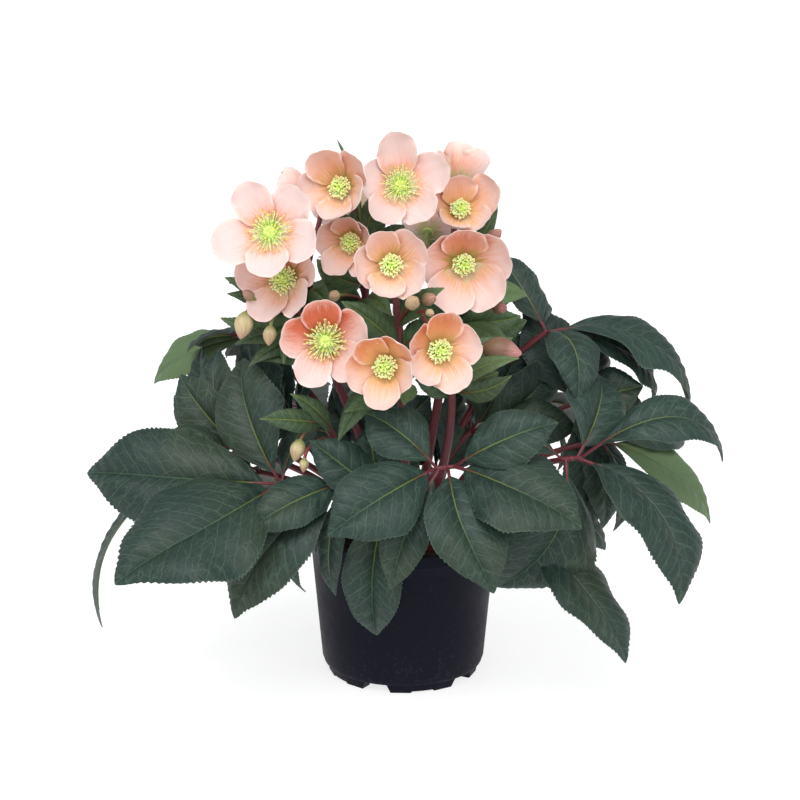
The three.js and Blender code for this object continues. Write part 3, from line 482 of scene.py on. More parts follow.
def blade(piece, point, length, width, stalk, pitch, gap, seed, light, finish=0):
    """A leaflet's blade: a thin closed skin, as wide as the outline says, with forward teeth of the
    given pitch that rise slowly and fall at once. It swells between its side veins, which lie a gap
    apart, its halves arch, its margins wave by sines, and its tip droops with the square of the way
    past 0.6."""
    count = max(7, round((length - stalk) / pitch))
    u = ((np.arange(count)[:, None] + [0, 0.42, 0.84]) / count).ravel()
    u = np.append(u, 1 - 0.02 / count)[:, None]
    lobe = np.array([0, 0.5, 1] * count + [0])[:, None]
    v, upper = two_sides(17, 1.12)
    depth = 0.016 * width * np.clip((u - 0.12) / 0.2, 0, 1) * np.clip((1 - u) / 0.08, 0, 1)
    ragged = 1 + 0.6 * np.sin(37 * u + 9 * seed + 3 * np.sign(v))
    uneven = 1 + 0.05 * np.sin(7 * u + 11 * seed + 2 * np.sign(v))
    uneven = uneven + 0.02 * np.sin(19 * u + 5 * seed + np.sign(v))
    half = np.maximum(0.5 * width * leaf_outline(u) * uneven, 1.3 * np.clip((1 - u) / 0.1, 0, 1))
    along = stalk + (length - stalk) * u
    inner = np.abs(v)
    across = v * half + np.sign(v) * inner**9 * depth * ragged * (lobe - 0.5)
    vein = (along - 0.75 * np.abs(across) - 0.004 * across**2) / gap + 0.5 * (across > 0)
    off = np.abs(across) / (0.5 * width)
    full = np.clip(half / (0.3 * width), 0, 1)
    lift = -0.009 * width * np.cos(2 * np.pi * vein) * (np.sin(np.pi * inner) ** 0.8 * full)
    lift += 0.05 * width * np.sin(np.pi * inner**0.8) * full
    lift += 0.05 * width * np.sin(2 * np.pi * (1.3 * u + seed) + 1.7 * np.sign(v)) * off**2
    lift += 0.03 * width * np.sin(2 * np.pi * (3.1 * u + 2 * seed) - 2 * np.sign(v)) * off**3
    lift -= 0.11 * width * off**2.5
    lift -= 0.05 * length * np.clip((u - 0.6) / 0.4, 0, 1) ** 2
    lift += (upper - 0.5) * 0.95 * (1 - 0.65 * inner**3)
    piece.skin(point(along / length, across, lift), (along, across, inner), (seed, upper, light), finish)


def midrib(piece, point, length, width, stalk, seed, finish=1):
    """The leaflet's stalk and its midrib in one tapering tube, which sinks to the underside of the
    blade as it goes on, and turns from red to yellow-green."""
    share = np.linspace(0, 0.93, 34)[:, None]
    around = full_turn(10)
    radius = (0.9 + 0.011 * width) * (1 - 0.85 * share) ** 0.9
    beyond = np.clip((share * length - stalk) / (0.35 * length), 0, 1)
    droop = 0.05 * length * np.clip((share - 0.6) / 0.4, 0, 1) ** 2
    lift = radius * np.sin(around) - radius * 0.9 * np.clip(beyond * 3, 0, 1) - droop
    red = 1 - 0.95 * beyond**0.6
    grid = point(share, radius * np.cos(around), lift)
    piece.skin(grid, (share * length, around, share), (seed, red, 0.5), finish)


def way_along(line):
    """How long a line is up to each of its points."""
    return np.append(0, np.cumsum(np.linalg.norm(np.diff(line, axis=0), axis=1)))


def tube(piece, path, radius, red, seed, finish=1, columns=12, ribs=0.0):
    """A tube along a path: circles square to its tangent, with five faint ribs along it. Where the
    tangent lies along the guide, the second circle's direction holds."""
    tangent = unit(np.gradient(path, axis=0))
    guide = [1.0, 0, 0] if abs(tangent[:, 0]).mean() < 0.7 else [0, 0, 1.0]
    across = np.cross(tangent, guide)
    across = unit(np.where(across.any(1, keepdims=True), across, across[1]))[:, None]
    third = np.cross(tangent[:, None], across)
    around = full_turn(columns)[None, :, None]
    wide = radius[:, None, None] * (1 + ribs * np.cos(5 * around))
    grid = path[:, None] + wide * (across * np.cos(around) + third * np.sin(around))
    way = way_along(path)[:, None]
    piece.skin(grid, (way, around[..., 0], way / way[-1]), (seed, np.reshape(red, (-1, 1)), 0.5), finish)


def bezier(start, leaving, arriving, end, count):
    """Points of a cubic curve: the four given points, weighted with the powers of the way and its rest."""
    t = np.linspace(0, 1, count)[:, None]
    rest = 1 - t
    return rest**3 * start + 3 * t * rest**2 * leaving + 3 * t**2 * rest * arriving + t**3 * end


# The net of veins: a midrib along the leaflet, side veins that lean forward from it and bend on, and
# between them a net of cells, which are the same shapes on every leaflet but shifted by its seed.
veins, given = new_group("leaf veins", ["Along", "Across", "Gap", "Seed"], ["Midrib", "Side", "Net"])
along, seed = given["Along"], given["Seed"]
across = math("ABSOLUTE", given["Across"])
shifted = join(times(seed, 400.0, along), given["Across"], seed)
wobble = less(noise(shifted, 0.11, 1.0), 0.5)
lean = times(across, -0.75, along)
lean = times(times(across, across), -0.004, lean)
phase = math("DIVIDE", times(wobble, 5.0, lean), given["Gap"])
offset = times(math("GREATER_THAN", given["Across"], 0.0), 0.5)
phase = math("FRACT", math("ADD", phase, offset))
off_line = times(math("MINIMUM", phase, less(1.0, phase)), given["Gap"])
side_vein = step(off_line, 0.15, 0.65, 1.0, 0.0)
cell = join(times(wobble, 6.0, times(seed, 400.0, lean)), times(given["Across"], 1.15), 0.0)
large, small = (
    node("TexVoronoi", {"Vector": cell, "Scale": scale}, feature="DISTANCE_TO_EDGE").outputs["Distance"]
    for scale in (0.105, 0.36)
)
net = math("MAXIMUM", step(large, 0.01, 0.06, 0.8, 0.0), step(small, 0.01, 0.09, 0.35, 0.0))
rib = step(across, 0.25, 0.9, 1.0, 0.0)
node("NodeGroupOutput", {"Midrib": rib, "Side": side_vein, "Net": net})


def leaf_finish(name, dark, light, vein, under, gap, shine):
    """Leaf tissue: dark and light green by the light value that each leaflet carries, which holds painted
    light and shade as well as its own tone, and by soft blotches, veins over it, a red flush on the
    midrib's first part, and another, dull colour on the underside."""
    material, shader = new_finish(name, Specular_IOR_Level=shine)
    along, across, inner = read(shader, "place")
    seed, upper, tone_and_painted_light = read(shader, "tone")
    where = coordinates(shader)
    inputs = {"Along": along, "Across": across, "Gap": gap, "Seed": seed}
    net = node("Group", inputs, node_tree=veins).outputs
    cloud = blotchy(where, 28.0, 1.5)
    share = times(less(cloud, 0.5), 0.5, tone_and_painted_light)
    green = mix(share, dark, light)
    olive = times(step(noise(where, 11.0, 1.0), 0.5, 0.7), 0.45)
    green = mix(olive, green, (0.028, 0.040, 0.016))
    # Painted light as well as own tone: the leaflets given the highest light value turn a paler, yellower
    # green.
    green = mix(step(tone_and_painted_light, 0.65, 1.0), green, (0.13, 0.20, 0.075))
    lines = math("MAXIMUM", times(net["Side"], 0.85), times(net["Net"], 0.6))
    lines = times(lines, step(inner, 0.75, 1.0, 0.7, 0.25))
    faded = times(lines, times(cloud, 0.8, 0.12))
    face = mix(faded, green, vein)
    middle = mix(step(along, 10.0, 36.0), (0.20, 0.03, 0.02), (0.16, 0.21, 0.05))
    middle = mix(step(along, 40.0, 90.0), middle, vein)
    face = mix(times(net["Midrib"], step(along, 25.0, 100.0, 0.9, 0.4)), face, middle)
    rim = step(inner, 0.965, 1.0)
    face = mix(times(rim, 0.3), face, vein)
    pale = mix(cloud, tuple(0.75 * c for c in under), under)
    pale = mix(times(lines, 0.4), pale, (0.36, 0.40, 0.26))
    colour = mix(step(upper, 0.3, 0.7), pale, face)
    rough = times(upper, -0.2, math("ADD", step(cloud, 0.2, 0.8, 0.46, 0.64), 0.2))
    dents = times(math("MAXIMUM", lines, net["Midrib"]), -1.0, times(cloud, 0.6))
    feed(shader, Base_Color=colour, Roughness=rough, Normal=bump(dents, 0.0003, 0.5))
    return material


# In millimetres: the level at which petioles and stems end in the peat, the level up to which they stand
# straight, and how far apart a leaflet's side veins and its teeth are.
ROOT_END, COLLAR, LEAF_VEINS, LEAF_TEETH = 108.3, 127.0, 12.5, 3.9
leaf_tissue = leaf_finish(
    "leaf tissue", (0.0035, 0.011, 0.0095), (0.016, 0.043, 0.032), (0.10, 0.18, 0.11), (0.155, 0.18, 0.175),
    LEAF_VEINS, 0.36,
)

# Stalk tissue: smooth and a little waxy, yellow-green where young and wine-red where the light falls
# on it, by the redness that each tube carries, with fine streaks along it.
stalk_tissue, shader = new_finish("stalk tissue", Roughness=0.42, Specular_IOR_Level=0.45)
way, around = read(shader, "place")[:2]
seed, red = read(shader, "tone")[:2]
streaks = noise(join(times(way, 0.03), around, seed), 3.5, 4.0)
flush = times(less(streaks, 0.5), 0.5, red)
colour = mix(step(flush, 0.05, 0.5), (0.20, 0.26, 0.07), (0.22, 0.045, 0.035))
colour = mix(step(flush, 0.5, 1.0), colour, (0.10, 0.012, 0.018))
feed(shader, Base_Color=colour, Normal=bump(streaks, 0.0004, 0.6))

for number, (name, (root, hub, leaflets)) in enumerate(LEAVES.items()):
    leaf = Piece(name + "_grown")
    root, hub, bar = np.array([*root, COLLAR]), np.array(hub, float), np.array(BARS.get(name, [0, 0, 0]))
    rise, reach = hub[2] - root[2], (hub - root) * [1, 1, 0]
    up = np.array([0, 0, 1.0])
    path = bezier(root, root + 0.5 * rise * up, hub - 0.35 * reach - 0.12 * rise * up, hub, 40)
    path = np.vstack([[*root[:2], ROOT_END], path])
    tube(leaf, path, np.linspace(3.6, 2.6, 41), np.linspace(0.8, 0.95, 41), 0.1 * number, columns=14)
    leaf.skin(egg(hub, up, 2.9, 2.4, 8, 12), (0, 0, 0), (0.1 * number, 0.9, 0.5), 1)
    half = np.linalg.norm(bar)
    if half:
        tube(leaf, hub + np.linspace(-1, 1, 9)[:, None] * bar, np.full(9, 1.9), 0.9, 0.1 * number)
    lean = 1.4 if name in CROWN_LEAVES else 0
    for k, (x, y, z, width, arch, roll, fold, light, *bow) in enumerate(leaflets):
        tip = np.array([x, y, z], float)
        start = hub + bar * (unit(tip - hub) @ bar / half if half else 0)
        seed = (0.37 * k + 0.61 * number) % 1
        sway = bow[0] if bow else 0.045 * np.sin(9 * seed + number)
        point, length = leaflet_frame(start, tip, arch, roll, fold, sway, lean)
        stalk = 5 + 0.05 * length
        blade(leaf, point, length, 1.14 * width, stalk, LEAF_TEETH, LEAF_VEINS, seed, light)
        midrib(leaf, point, length, width, stalk, seed)
    leaf.build("leaf", [leaf_tissue, stalk_tissue], [] if name in CROWN_LEAVES else [name])

# ---- Flower stems ---------------------------------------------------------------------------------
# Wine-red stems out of the crown of the plant, each with its branches, closed and half-open buds, and
# green toothed bracts at the forks. Stem, branches, buds and bracts are one growth.

# Blooms 1 to 16. Each: the eye of the flower, its heading (0 faces the front, 90 faces +X) and elevation,
# its spin, the length and relative width of a sepal, the bowl's slope at the eye and at the rim, how coral
# and how rosy rather than apricot it is inside, how wide its stamens spread, how orange their anthers are,
# and how long each sepal grew against the others.
BLOOMS = [
    ([-3, -15, 450], [4, 22], 20, 46, 0.78, [10, 38], 0.07, 0.9, 17, 0.6, [1.08, 1.1, 0.84, 1.02, 0.98]),
    ([-52, -42, 453], [-20, 15], 50, 40, 0.88, [16, 56], 0.38, 0.35, 10, 0.3, [1.05, 1.12, 1.06, 1, 0.84]),
    ([-112, -78, 421], [-12, 18], 54, 46, 0.8, [5, 28], 0.08, 0.95, 18, 0.8, [1.04, 1.06, 1.14, 0.92, 1.06]),
    ([-100, -58, 376], [-28, 16], 34, 41, 0.88, [12, 40], 0.55, 0.7, 13, 0.3, [1.1, 0.85, 1.14, 1.16, 1.1]),
    ([-43, -40, 407], [-18, 0], 26, 34, 0.88, [18, 56], 0.45, 0.4, 9.5, 0.4, [0.8, 0.95, 1.08, 1.22, 1.18]),
    ([-10, -84, 394], [0, 12], 40, 38, 0.92, [16, 52], 0.36, 0.25, 10, 0.1, [1.1, 1.02, 1.06, 0.96, 1.08]),
    ([49, 0, 425], [10, 34], 20, 38, 0.92, [18, 56], 0.45, 0.1, 9.5, 0.1, [1.22, 0.92, 0.86, 0.9, 1]),
    ([50, 30, 446], [165, 52], 10, 38, 0.92, [30, 64], 0.9, 0.2, 11, 0.2, [1, 1.05, 1, 1.1, 1]),
    ([51, -62, 392], [5, -2], 22, 44, 0.98, [14, 46], 0.75, 0.6, 9.8, 0.05, [1.1, 0.92, 1, 1.16, 1.14]),
    ([-65, -115, 336], [0, 3], 30, 41, 0.84, [8, 34], 1.15, 0.9, 18, 0.7, [1, 1.02, 1.02, 1.08, 1.06]),
    ([-14, -130, 319], [-10, 0], 54, 38, 0.86, [16, 54], 1.05, 0.05, 10.5, 0.2, [0.95, 1.05, 1.08, 1.2, 0.88]),
    ([29, -120, 329], [13, 6], 8, 40, 0.84, [14, 48], 0.95, 0.25, 10.5, 0.1, [1, 1.1, 0.84, 1, 1.1]),
    ([-84, 4, 443], [-98, 18], 20, 32, 0.8, [34, 84], 0.5, 0.8, 10, 0.2, [1, 1, 1.1, 1, 1]),
    ([22, 28, 402], [165, 20], 30, 35, 0.88, [14, 50], 0.2, 0.8, 12, 0.2, [1, 1, 1, 1.1, 1]),
    ([-46, 62, 420], [200, 18], 10, 42, 0.86, [10, 42], 0.5, 0.7, 16, 0.4, [1, 1.1, 1, 1, 0.95]),
    ([40, 88, 362], [150, 8], 46, 41, 0.88, [14, 52], 0.6, 0.3, 13, 0.2, [1.05, 1, 1, 1.1, 1]),
]

# Each stem: its course out of the soil; its blooms by number, and the share of the way up the stem at
# which each one's branch leaves; its buds, each with place, direction, length, how rosy it is and the share
# at which it leaves; and its bracts, each with the share at which it leaves, its tip and its width.
STEMS = {
    "stem_left": (
        [[-20, -8], [-34, -12, 210], [-66, -20, 300], [-86, -14, 388]], {3: 0.98, 4: 0.86, 13: 0.94},
        [[-134, -70, 350, -0.25, -0.4, -1, 24, 0.2, 0.76], [-113, -84, 341, -0.1, -0.5, -1, 17, 0.5, 0.72],
         [-129, -66, 362, -0.6, -0.5, 0.6, 13, 0.7, 0.84]],
        [[0.82, -154, -44, 362, 20], [0.74, -104, -88, 312, 20], [0.9, -60, -62, 352, 22],
         [0.9, -155, -50, 376, 24], [0.7, -134, -72, 305, 24], [0.78, -117, -60, 322, 18],
         [0.88, -124, -20, 354, 26], [0.8, -91, -10, 349, 26], [0.6, -100, -30, 300, 28],
         [0.84, -92, 16, 352, 32], [0.76, -160, -50, 340, 26], [0.7, -146, -60, 322, 28],
         [0.66, -124, -64, 308, 30], [0.72, -100, -60, 312, 30], [0.88, -152, -44, 372, 24],
         [0.8, -118, -40, 330, 34]],
    ),
    "stem_top_left": (
        [[-10, 6], [-16, -2, 220], [-30, -10, 320], [-38, -12, 404]], {1: 0.98, 2: 0.96, 5: 0.84},
        [[-57, -54, 362, -0.3, -0.7, 0.1, 14, 0.3, 0.76]],
        [[0.97, -83, -8, 476, 18], [0.96, -22, -8, 448, 18], [0.86, -74, -50, 388, 20],
         [0.72, -40, -64, 352, 26], [0.97, -58, 0, 493, 5], [0.86, -79, -40, 366, 22],
         [0.8, -10, -66, 348, 20], [0.86, -76, 10, 379, 26], [0.84, -28, 0, 396, 26],
         [0.62, -62, -40, 320, 30], [0.66, -10, 20, 330, 30], [0.7, -52, 20, 342, 34],
         [0.6, -66, 10, 313, 34], [0.84, -78, -4, 384, 26], [0.78, -52, -44, 346, 28],
         [0.7, -70, -12, 326, 32], [0.94, -14, 2, 419, 26], [0.92, 2, 8, 414, 24],
         [0.74, -20, -34, 338, 30], [0.8, -68, 0, 356, 30]],
    ),
    "stem_right": (
        [[17, 2], [26, -2, 220], [40, -6, 320], [44, 8, 398]], {7: 0.97, 8: 0.93, 9: 0.86, 14: 0.8},
        [[74, -24, 404, 0.6, -0.3, 0.6, 17, 0.9, 0.94], [78, -58, 352, 0.6, -0.6, 0.1, 16, 1, 0.72]],
        [[0.95, 84, -6, 440, 16], [0.84, 22, -58, 366, 20], [0.7, 92, -64, 318, 30],
         [0.86, 35, -40, 383, 22], [0.72, 105, -20, 336, 28], [0.66, 90, -30, 313, 26],
         [0.8, 75, 0, 350, 26], [0.92, 86, 20, 402, 22], [0.9, 24, 0, 401, 24], [0.6, 16, -20, 318, 30],
         [0.76, 60, 20, 342, 34], [0.62, 44, 14, 313, 34], [0.88, 69, 20, 377, 28],
         [0.74, 12, -36, 334, 30], [0.7, 94, -10, 318, 34], [0.78, 96, 6, 344, 30], [0.8, 112, 2, 352, 34],
         [0.72, 112, -4, 328, 36]],
    ),
    "stem_front": (
        [[2, -18], [2, -34, 200], [-2, -62, 280], [-4, -72, 340]], {6: 0.98, 10: 0.76, 11: 0.84},
        [[6, -104, 364, 0.2, -0.8, 0.4, 18, 0.4, 0.97], [20, -104, 358, 0.5, -0.8, 0, 10, 0.1, 0.95]],
        [[0.9, -52, -94, 366, 26], [0.98, 34, -96, 378, 20], [0.8, -34, -110, 280, 18],
         [0.78, -57, -118, 250, 24], [0.8, -50, -112, 273, 22], [0.76, 1, -104, 278, 24],
         [0.86, -52, -80, 318, 26], [0.9, 30, -70, 344, 24]],
    ),
    "stem_front_right": (
        [[20, -20], [34, -40, 200], [42, -64, 260], [40, -82, 310]], {12: 0.96},
        [[70, -92, 325, 1, -0.2, -0.15, 32, 0.9, 0.86], [17, -92, 365, 0.5, -0.6, 0.3, 17, 0.7, 0.98]],
        [[0.9, 94, -84, 332, 26], [0.88, 97, -114, 322, 17], [0.86, 92, -104, 302, 22],
         [0.86, 84, -60, 295, 26], [0.94, 58, -50, 330, 26], [0.8, 10, -70, 292, 24]],
    ),
    "stem_back": (
        [[0, 22], [2, 44, 210], [-4, 62, 300], [-8, 66, 360]], {15: 0.97, 16: 0.86},
        [[-30, 96, 372, -0.5, 0.6, -0.2, 20, 0.5, 0.84]],
        [[0.9, -78, 70, 376, 24], [0.84, 26, 112, 316, 26], [0.86, -16, 26, 358, 34],
         [0.84, 20, 24, 345, 34], [0.7, 1, 10, 313, 34], [0.9, 33, 16, 393, 28]],
    ),
    "stem_low": (
        [[-16, -22], [-34, -56, 180], [-56, -76, 232], [-68, -82, 258]], {},
        [[-88, -104, 246, -0.3, -0.3, -1, 19, 0.1, 0.96], [-84, -112, 232, -0.1, -0.4, -1, 12, 0.1, 0.84]],
        [[0.97, -122, -114, 268, 20], [0.9, -96, -96, 286, 16]],
    ),
}


def bloom_frame(at, facing, spin):
    """The frame of a bloom: the face's right, its up and its outward direction as rows, turned by the
    spin about the last. Gives the place of a point of the bloom and the outward direction."""
    heading, elevation, turn = np.radians([*facing, spin])
    flat = np.array([np.sin(heading), -np.cos(heading), 0])
    out = flat * np.cos(elevation) + [0, 0, np.sin(elevation)]
    right = np.array([np.cos(heading), np.sin(heading), 0])
    up = np.cross(out, right)
    turned = right * np.cos(turn) + up * np.sin(turn), up * np.cos(turn) - right * np.sin(turn)
    basis = np.array([*turned, out])
    return lambda points: np.asarray(at) + points @ basis, out


def stem_path(course, count=120):
    """A smooth curve through the course: each stretch is a cubic whose tangents at its ends come from
    the neighbours, weighted with the roots of their distances. Its points lie evenly along it."""
    root = np.array([*course[0], COLLAR])
    upright = root + [0, 0, 0.4 * (course[1][2] - COLLAR)]
    p = np.array([root, upright, *course[1:]], float)
    p = np.vstack([2 * p[0] - p[1], p, 2 * p[-1] - p[-2]])
    gap = np.linalg.norm(np.diff(p, axis=0), axis=1)[:, None] ** 0.5
    slope = np.diff(p, axis=0) / gap
    bend = slope[:-1] - (p[2:] - p[:-2]) / (gap[:-1] + gap[1:]) + slope[1:]
    t = np.linspace(0, 1, 40)[:, None]
    parts = []
    for k in range(1, len(p) - 2):
        leave, reach = bend[k - 1] * gap[k], bend[k] * gap[k]
        parts.append(
            p[k] + leave * t + (3 * (p[k + 1] - p[k]) - 2 * leave - reach) * t**2
            + (2 * (p[k] - p[k + 1]) + leave + reach) * t**3
        )
    dense = np.concatenate(parts)
    way = way_along(dense)
    return np.stack([np.interp(np.linspace(0, way[-1], count), way, axis) for axis in dense.T], -1)


def point_at(share, line):
    """The point at a share of the way along a line whose points lie evenly."""
    return np.array([np.interp(share, np.linspace(0, 1, len(line)), axis) for axis in line.T])


def bud(piece, base, axis, length, rosy, seed):
    """A closed bud of five sepals wrapped round each other: an egg whose radius steps down at each edge
    of a sepal, on spirals that turn by a sixth from its base to its tip."""
    rows = np.linspace(0.03, 0.985, 30)[:, None]
    around = full_turn(50)
    across = unit(np.cross(axis, [0.3, 0.9, 0.1]))
    third = np.cross(axis, across)
    wrap = 5 * around / (2 * np.pi) % 1
    around = around - 2 * np.pi / 5 * (0.9 * rows + seed)
    folds = 0.93 + 0.09 * wrap + 0.04 * np.sin(np.pi * wrap)
    flat = 0.34 * length * np.sin(np.pi * rows**0.85) ** 0.8 * folds
    level = length * (1.08 * rows - 0.09)
    points = base + level[..., None] * axis + (flat * np.cos(around))[..., None] * across
    points = points + (flat * np.sin(around))[..., None] * third
    piece.skin(points, (rows, wrap, seed), (seed, rosy, 0.5), 2)


BRACT_VEINS, BRACT_TEETH, BRACT_STALK = 7.0, 3.4, 3
bract_tissue = leaf_finish(
    "bract tissue", (0.013, 0.036, 0.015), (0.060, 0.115, 0.036), (0.15, 0.21, 0.10), (0.15, 0.20, 0.12),
    BRACT_VEINS, 0.4,
)

# Bud tissue: cream with a green base and pink streaks that run up to a blushing tip. A rosy bud is dusky
# below and pink above.
bud_tissue, shader = new_finish("bud tissue", Roughness=0.48, Specular_IOR_Level=0.35)
up, wrap, seed = read(shader, "place")
flush = read(shader, "tone")[1]
streaks = noise(join(up, times(wrap, 5.0), times(seed, 9.0)), 4.0)
colour = mix(step(up, 0.1, 0.45), (0.20, 0.29, 0.08), (0.50, 0.48, 0.25))
rosy = times(step(streaks, 0.42, 0.6), step(up, 0.25, 0.95, 0.45, 1.0))
colour = mix(rosy, colour, (0.50, 0.20, 0.17))
dusky = mix(step(up, 0.55, 0.9), (0.15, 0.085, 0.045), (0.56, 0.26, 0.24))
colour = mix(step(flush, 0.3, 1.0), colour, mix(rosy, dusky, (0.22, 0.06, 0.06)))
edge = step(wrap, 0.86, 0.98)
colour = mix(times(edge, 0.4), colour, (0.62, 0.50, 0.40))
feed(shader, Base_Color=colour, Normal=bump(streaks, 0.0004, 0.6))

for number, (name, (course, blooms, buds, bracts)) in enumerate(STEMS.items()):
    stem = Piece(name + "_grown")
    path = stem_path(course)
    shares = np.linspace(0, 1, len(path))
    tangents = unit(np.gradient(path, axis=0))
    radius = np.interp(shares, [0, 1], [4.6, 3.1])
    for fork in [*blooms.values(), *(row[-1] for row in buds), *(row[0] for row in bracts)]:
        radius = radius + 0.35 * np.exp(-(((shares - fork) / 0.012) ** 2))
    whole = np.vstack([[*path[0, :2], ROOT_END], path])
    reds = np.interp(np.append(0, shares), [0, 0.5, 1], [0.75, 1.0, 0.85])
    tube(stem, whole, np.append(4.6, radius), reds, 0.13 * number, 0, 20, 0.035)
    branches = []
    for bloom, share in blooms.items():
        place_bloom, out = bloom_frame(*BLOOMS[bloom - 1][:3])
        branches.append((share, place_bloom(np.array([0, 0, -2.0])), out, 2.6, 2.1))
    for *row, length, rosy, share in buds:
        at, out = np.array(row[:3], float), unit(np.array(row[3:], float))
        branches.append((share, at, out, 1.8, 1.5))
        bud(stem, at, out, length, rosy, (0.3 * length + share) % 1)
    for k, (share, end, out, first, last) in enumerate(branches):
        start, leaving = point_at(share, path), point_at(share, tangents)
        span = np.linalg.norm(end - start)
        line = bezier(start, start + 0.3 * span * leaving, end - 0.35 * span * out, end, 30)
        reds = np.linspace(0.9, 0.35 + 0.3 * np.sin(k + number), 30)
        tube(stem, line, np.linspace(first, last, 30), reds, 0.3 * k, 0, 12, 0.03)
    for k, (share, *tip, width) in enumerate(bracts):
        start, tip = point_at(share, path), np.array(tip, float)
        seed = (0.29 * k + 0.17 * number) % 1
        roll, sway = 30 * np.sin(5 * seed), 0.05 * np.sin(7 * seed)
        point, length = leaflet_frame(start, tip, 0.14, roll, 10, sway, 2.2 if start[1] < 20 else 0)
        blade(stem, point, length, width, BRACT_STALK, BRACT_TEETH, BRACT_VEINS, seed, 0.2 + 0.6 * seed, 1)
        midrib(stem, point, length, width * 0.5, BRACT_STALK, seed, 0)
    stem.build("stem", [stalk_tissue, bract_tissue, bud_tissue], [name])

# ---- Blooms: sepals -------------------------------------------------------------------------------
# Five broad overlapping sepals on a green receptacle. They are soft and finely veined, pale apricot to
# coral inside with a cream or olive eye, and blush towards their thin pale rims.

# Whether each sepal's left and right side lie outside (-1) or inside (1) the neighbour's, and the profile
# of the receptacle behind them.
LAYERS = [[-1, -1], [1, 1], [-1, -1], [1, 1], [-1, 1]]
RECEPTACLE = [(1.6, -2.7), (2.4, -2.5), (3.4, -1.6), (4.4, -0.4), (4.5, 0.6), (3.6, 1.6), (1.2, 2.2)]


def bowl_point(size, bowl, arc, angle, lift):
    """A point of the bowl that the sepals form, an arc length from the eye, at an angle round it and
    lifted off it. The slope grows evenly with the arc, so radius and height are the integrals of its
    cosine and sine."""
    first, last = np.radians(bowl)
    bend = (last - first) / size
    slope = first + bend * arc
    radius = (np.sin(slope) - np.sin(first)) / bend - lift * np.sin(slope)
    height = (np.cos(first) - np.cos(slope)) / bend + lift * np.cos(slope)
    return grid_of(radius * np.cos(angle), radius * np.sin(angle), height)


def sepal(size, width, bowl, index, grown, seed):
    """A sepal: a thin closed skin on the bowl. Its outline grows as a sine from a narrow foot to its
    widest place, at 0.6, and ends in a blunt ellipse of the power 2.3. Its sides lie inside or outside
    its neighbours', it is hollow like a spoon by squares of the way to its sides and its end, its rim
    and its end are ruffled by sines, a shallow crease runs up its middle, and fine furrows beside it."""
    u = (1 - np.cos(np.pi * np.linspace(0, 1, 36)))[:, None] / 2 * 0.995
    v, inside = two_sides(27, 0.9)
    broad = size * width / 2
    round_end = np.sqrt(1 - np.clip((u - 0.6) / 0.4, 0, 1) ** 2.3)
    narrow_foot = np.sin(np.pi / 2 * (0.08 + 0.92 * np.clip(u / 0.6, 0, 1))) ** 1.05
    outline = np.where(u < 0.6, narrow_foot, round_end)
    uneven = 1.04 + 0.05 * np.sin(40 * seed) + 0.035 * np.sin(9 * u + 5 * seed + 3 * np.sign(v))
    uneven = uneven + 0.012 * np.sin(31 * u + 17 * seed + np.sign(v))
    wide = broad * outline * uneven
    x = 2 + (size * grown - 2) * u * (1 - 0.05 * v**2 * (1 - u**6))
    y = v * wide
    off = y / broad
    arc = np.hypot(x, y)
    rim = bowl_point(size, bowl, arc, 0, 0)[..., 0]
    angle = np.arctan2(y, x) * np.minimum(1.5, arc / rim)
    left, right = LAYERS[index]
    layer = 1.95 * np.sqrt(off**2 + 0.01) * np.where(v < 0, left, right) * np.minimum(1, 0.5 + 1.6 * u)
    depth = 0.035 + 0.0011 * (bowl[1] - 30)
    hollow = off**2 * np.clip(u * 2, 0, 1) + 0.9 * np.clip((u - 0.68) / 0.32, 0, 1) ** 2
    hollow = hollow - 0.5 * np.sin(np.pi * u)
    edge = np.clip(u * 1.6, 0, 1) * np.abs(off) ** 2.5
    ruffle = edge * (1.5 * np.sin(9 * u + 13 * seed + 2 * np.sign(v)) + 0.4 * np.sin(25 * u + 7 * seed))
    waves = 1.1 * np.sin(4 * off + 9 * seed) + 0.3 * np.sin(11 * off + 3 * seed)
    end = np.clip((u - 0.72) / 0.28, 0, 1) ** 2 * waves
    crease = -0.7 * np.exp(-((y / 2.6) ** 2)) * np.sin(np.pi * np.clip(u * 1.1, 0, 1))
    furrow = 0.07 * np.cos(y * 1.9 + 3 * seed) * np.sin(np.pi * u)
    thick = (inside - 0.5) * (0.75 - 0.35 * np.maximum(np.abs(v) ** 4, u**6))
    turn = 2 * np.pi * index / 5 + 0.07 * np.sin(20 * seed)
    lift = layer + depth * size * hollow + ruffle + end + crease + furrow + thick
    return bowl_point(size, bowl, arc, turn + angle, lift), u, v, inside


# Sepal tissue, by the way from foot to tip: cream or olive at the eye, then coral or orange, then pink,
# under a cast of apricot where the bloom isn't rosy, with streaks that run out from the eye and a pale
# rim; the outside is a dustier pink with greener feet. The coral share that each point carries is the
# bloom's own coral deepened by painted shade on its upper sepals, so the olive eye, the deep coral and
# the outside's flush there are partly their own colour and partly painted shade.
sepal_tissue, shader = new_finish(
    "sepal tissue", Roughness=0.58, Specular_IOR_Level=0.3, Sheen_Weight=0.06,
    Subsurface_Weight=0.2, Subsurface_Radius=(1.0, 0.5, 0.3), Subsurface_Scale=0.0015,
)
u, v, seed = read(shader, "place")
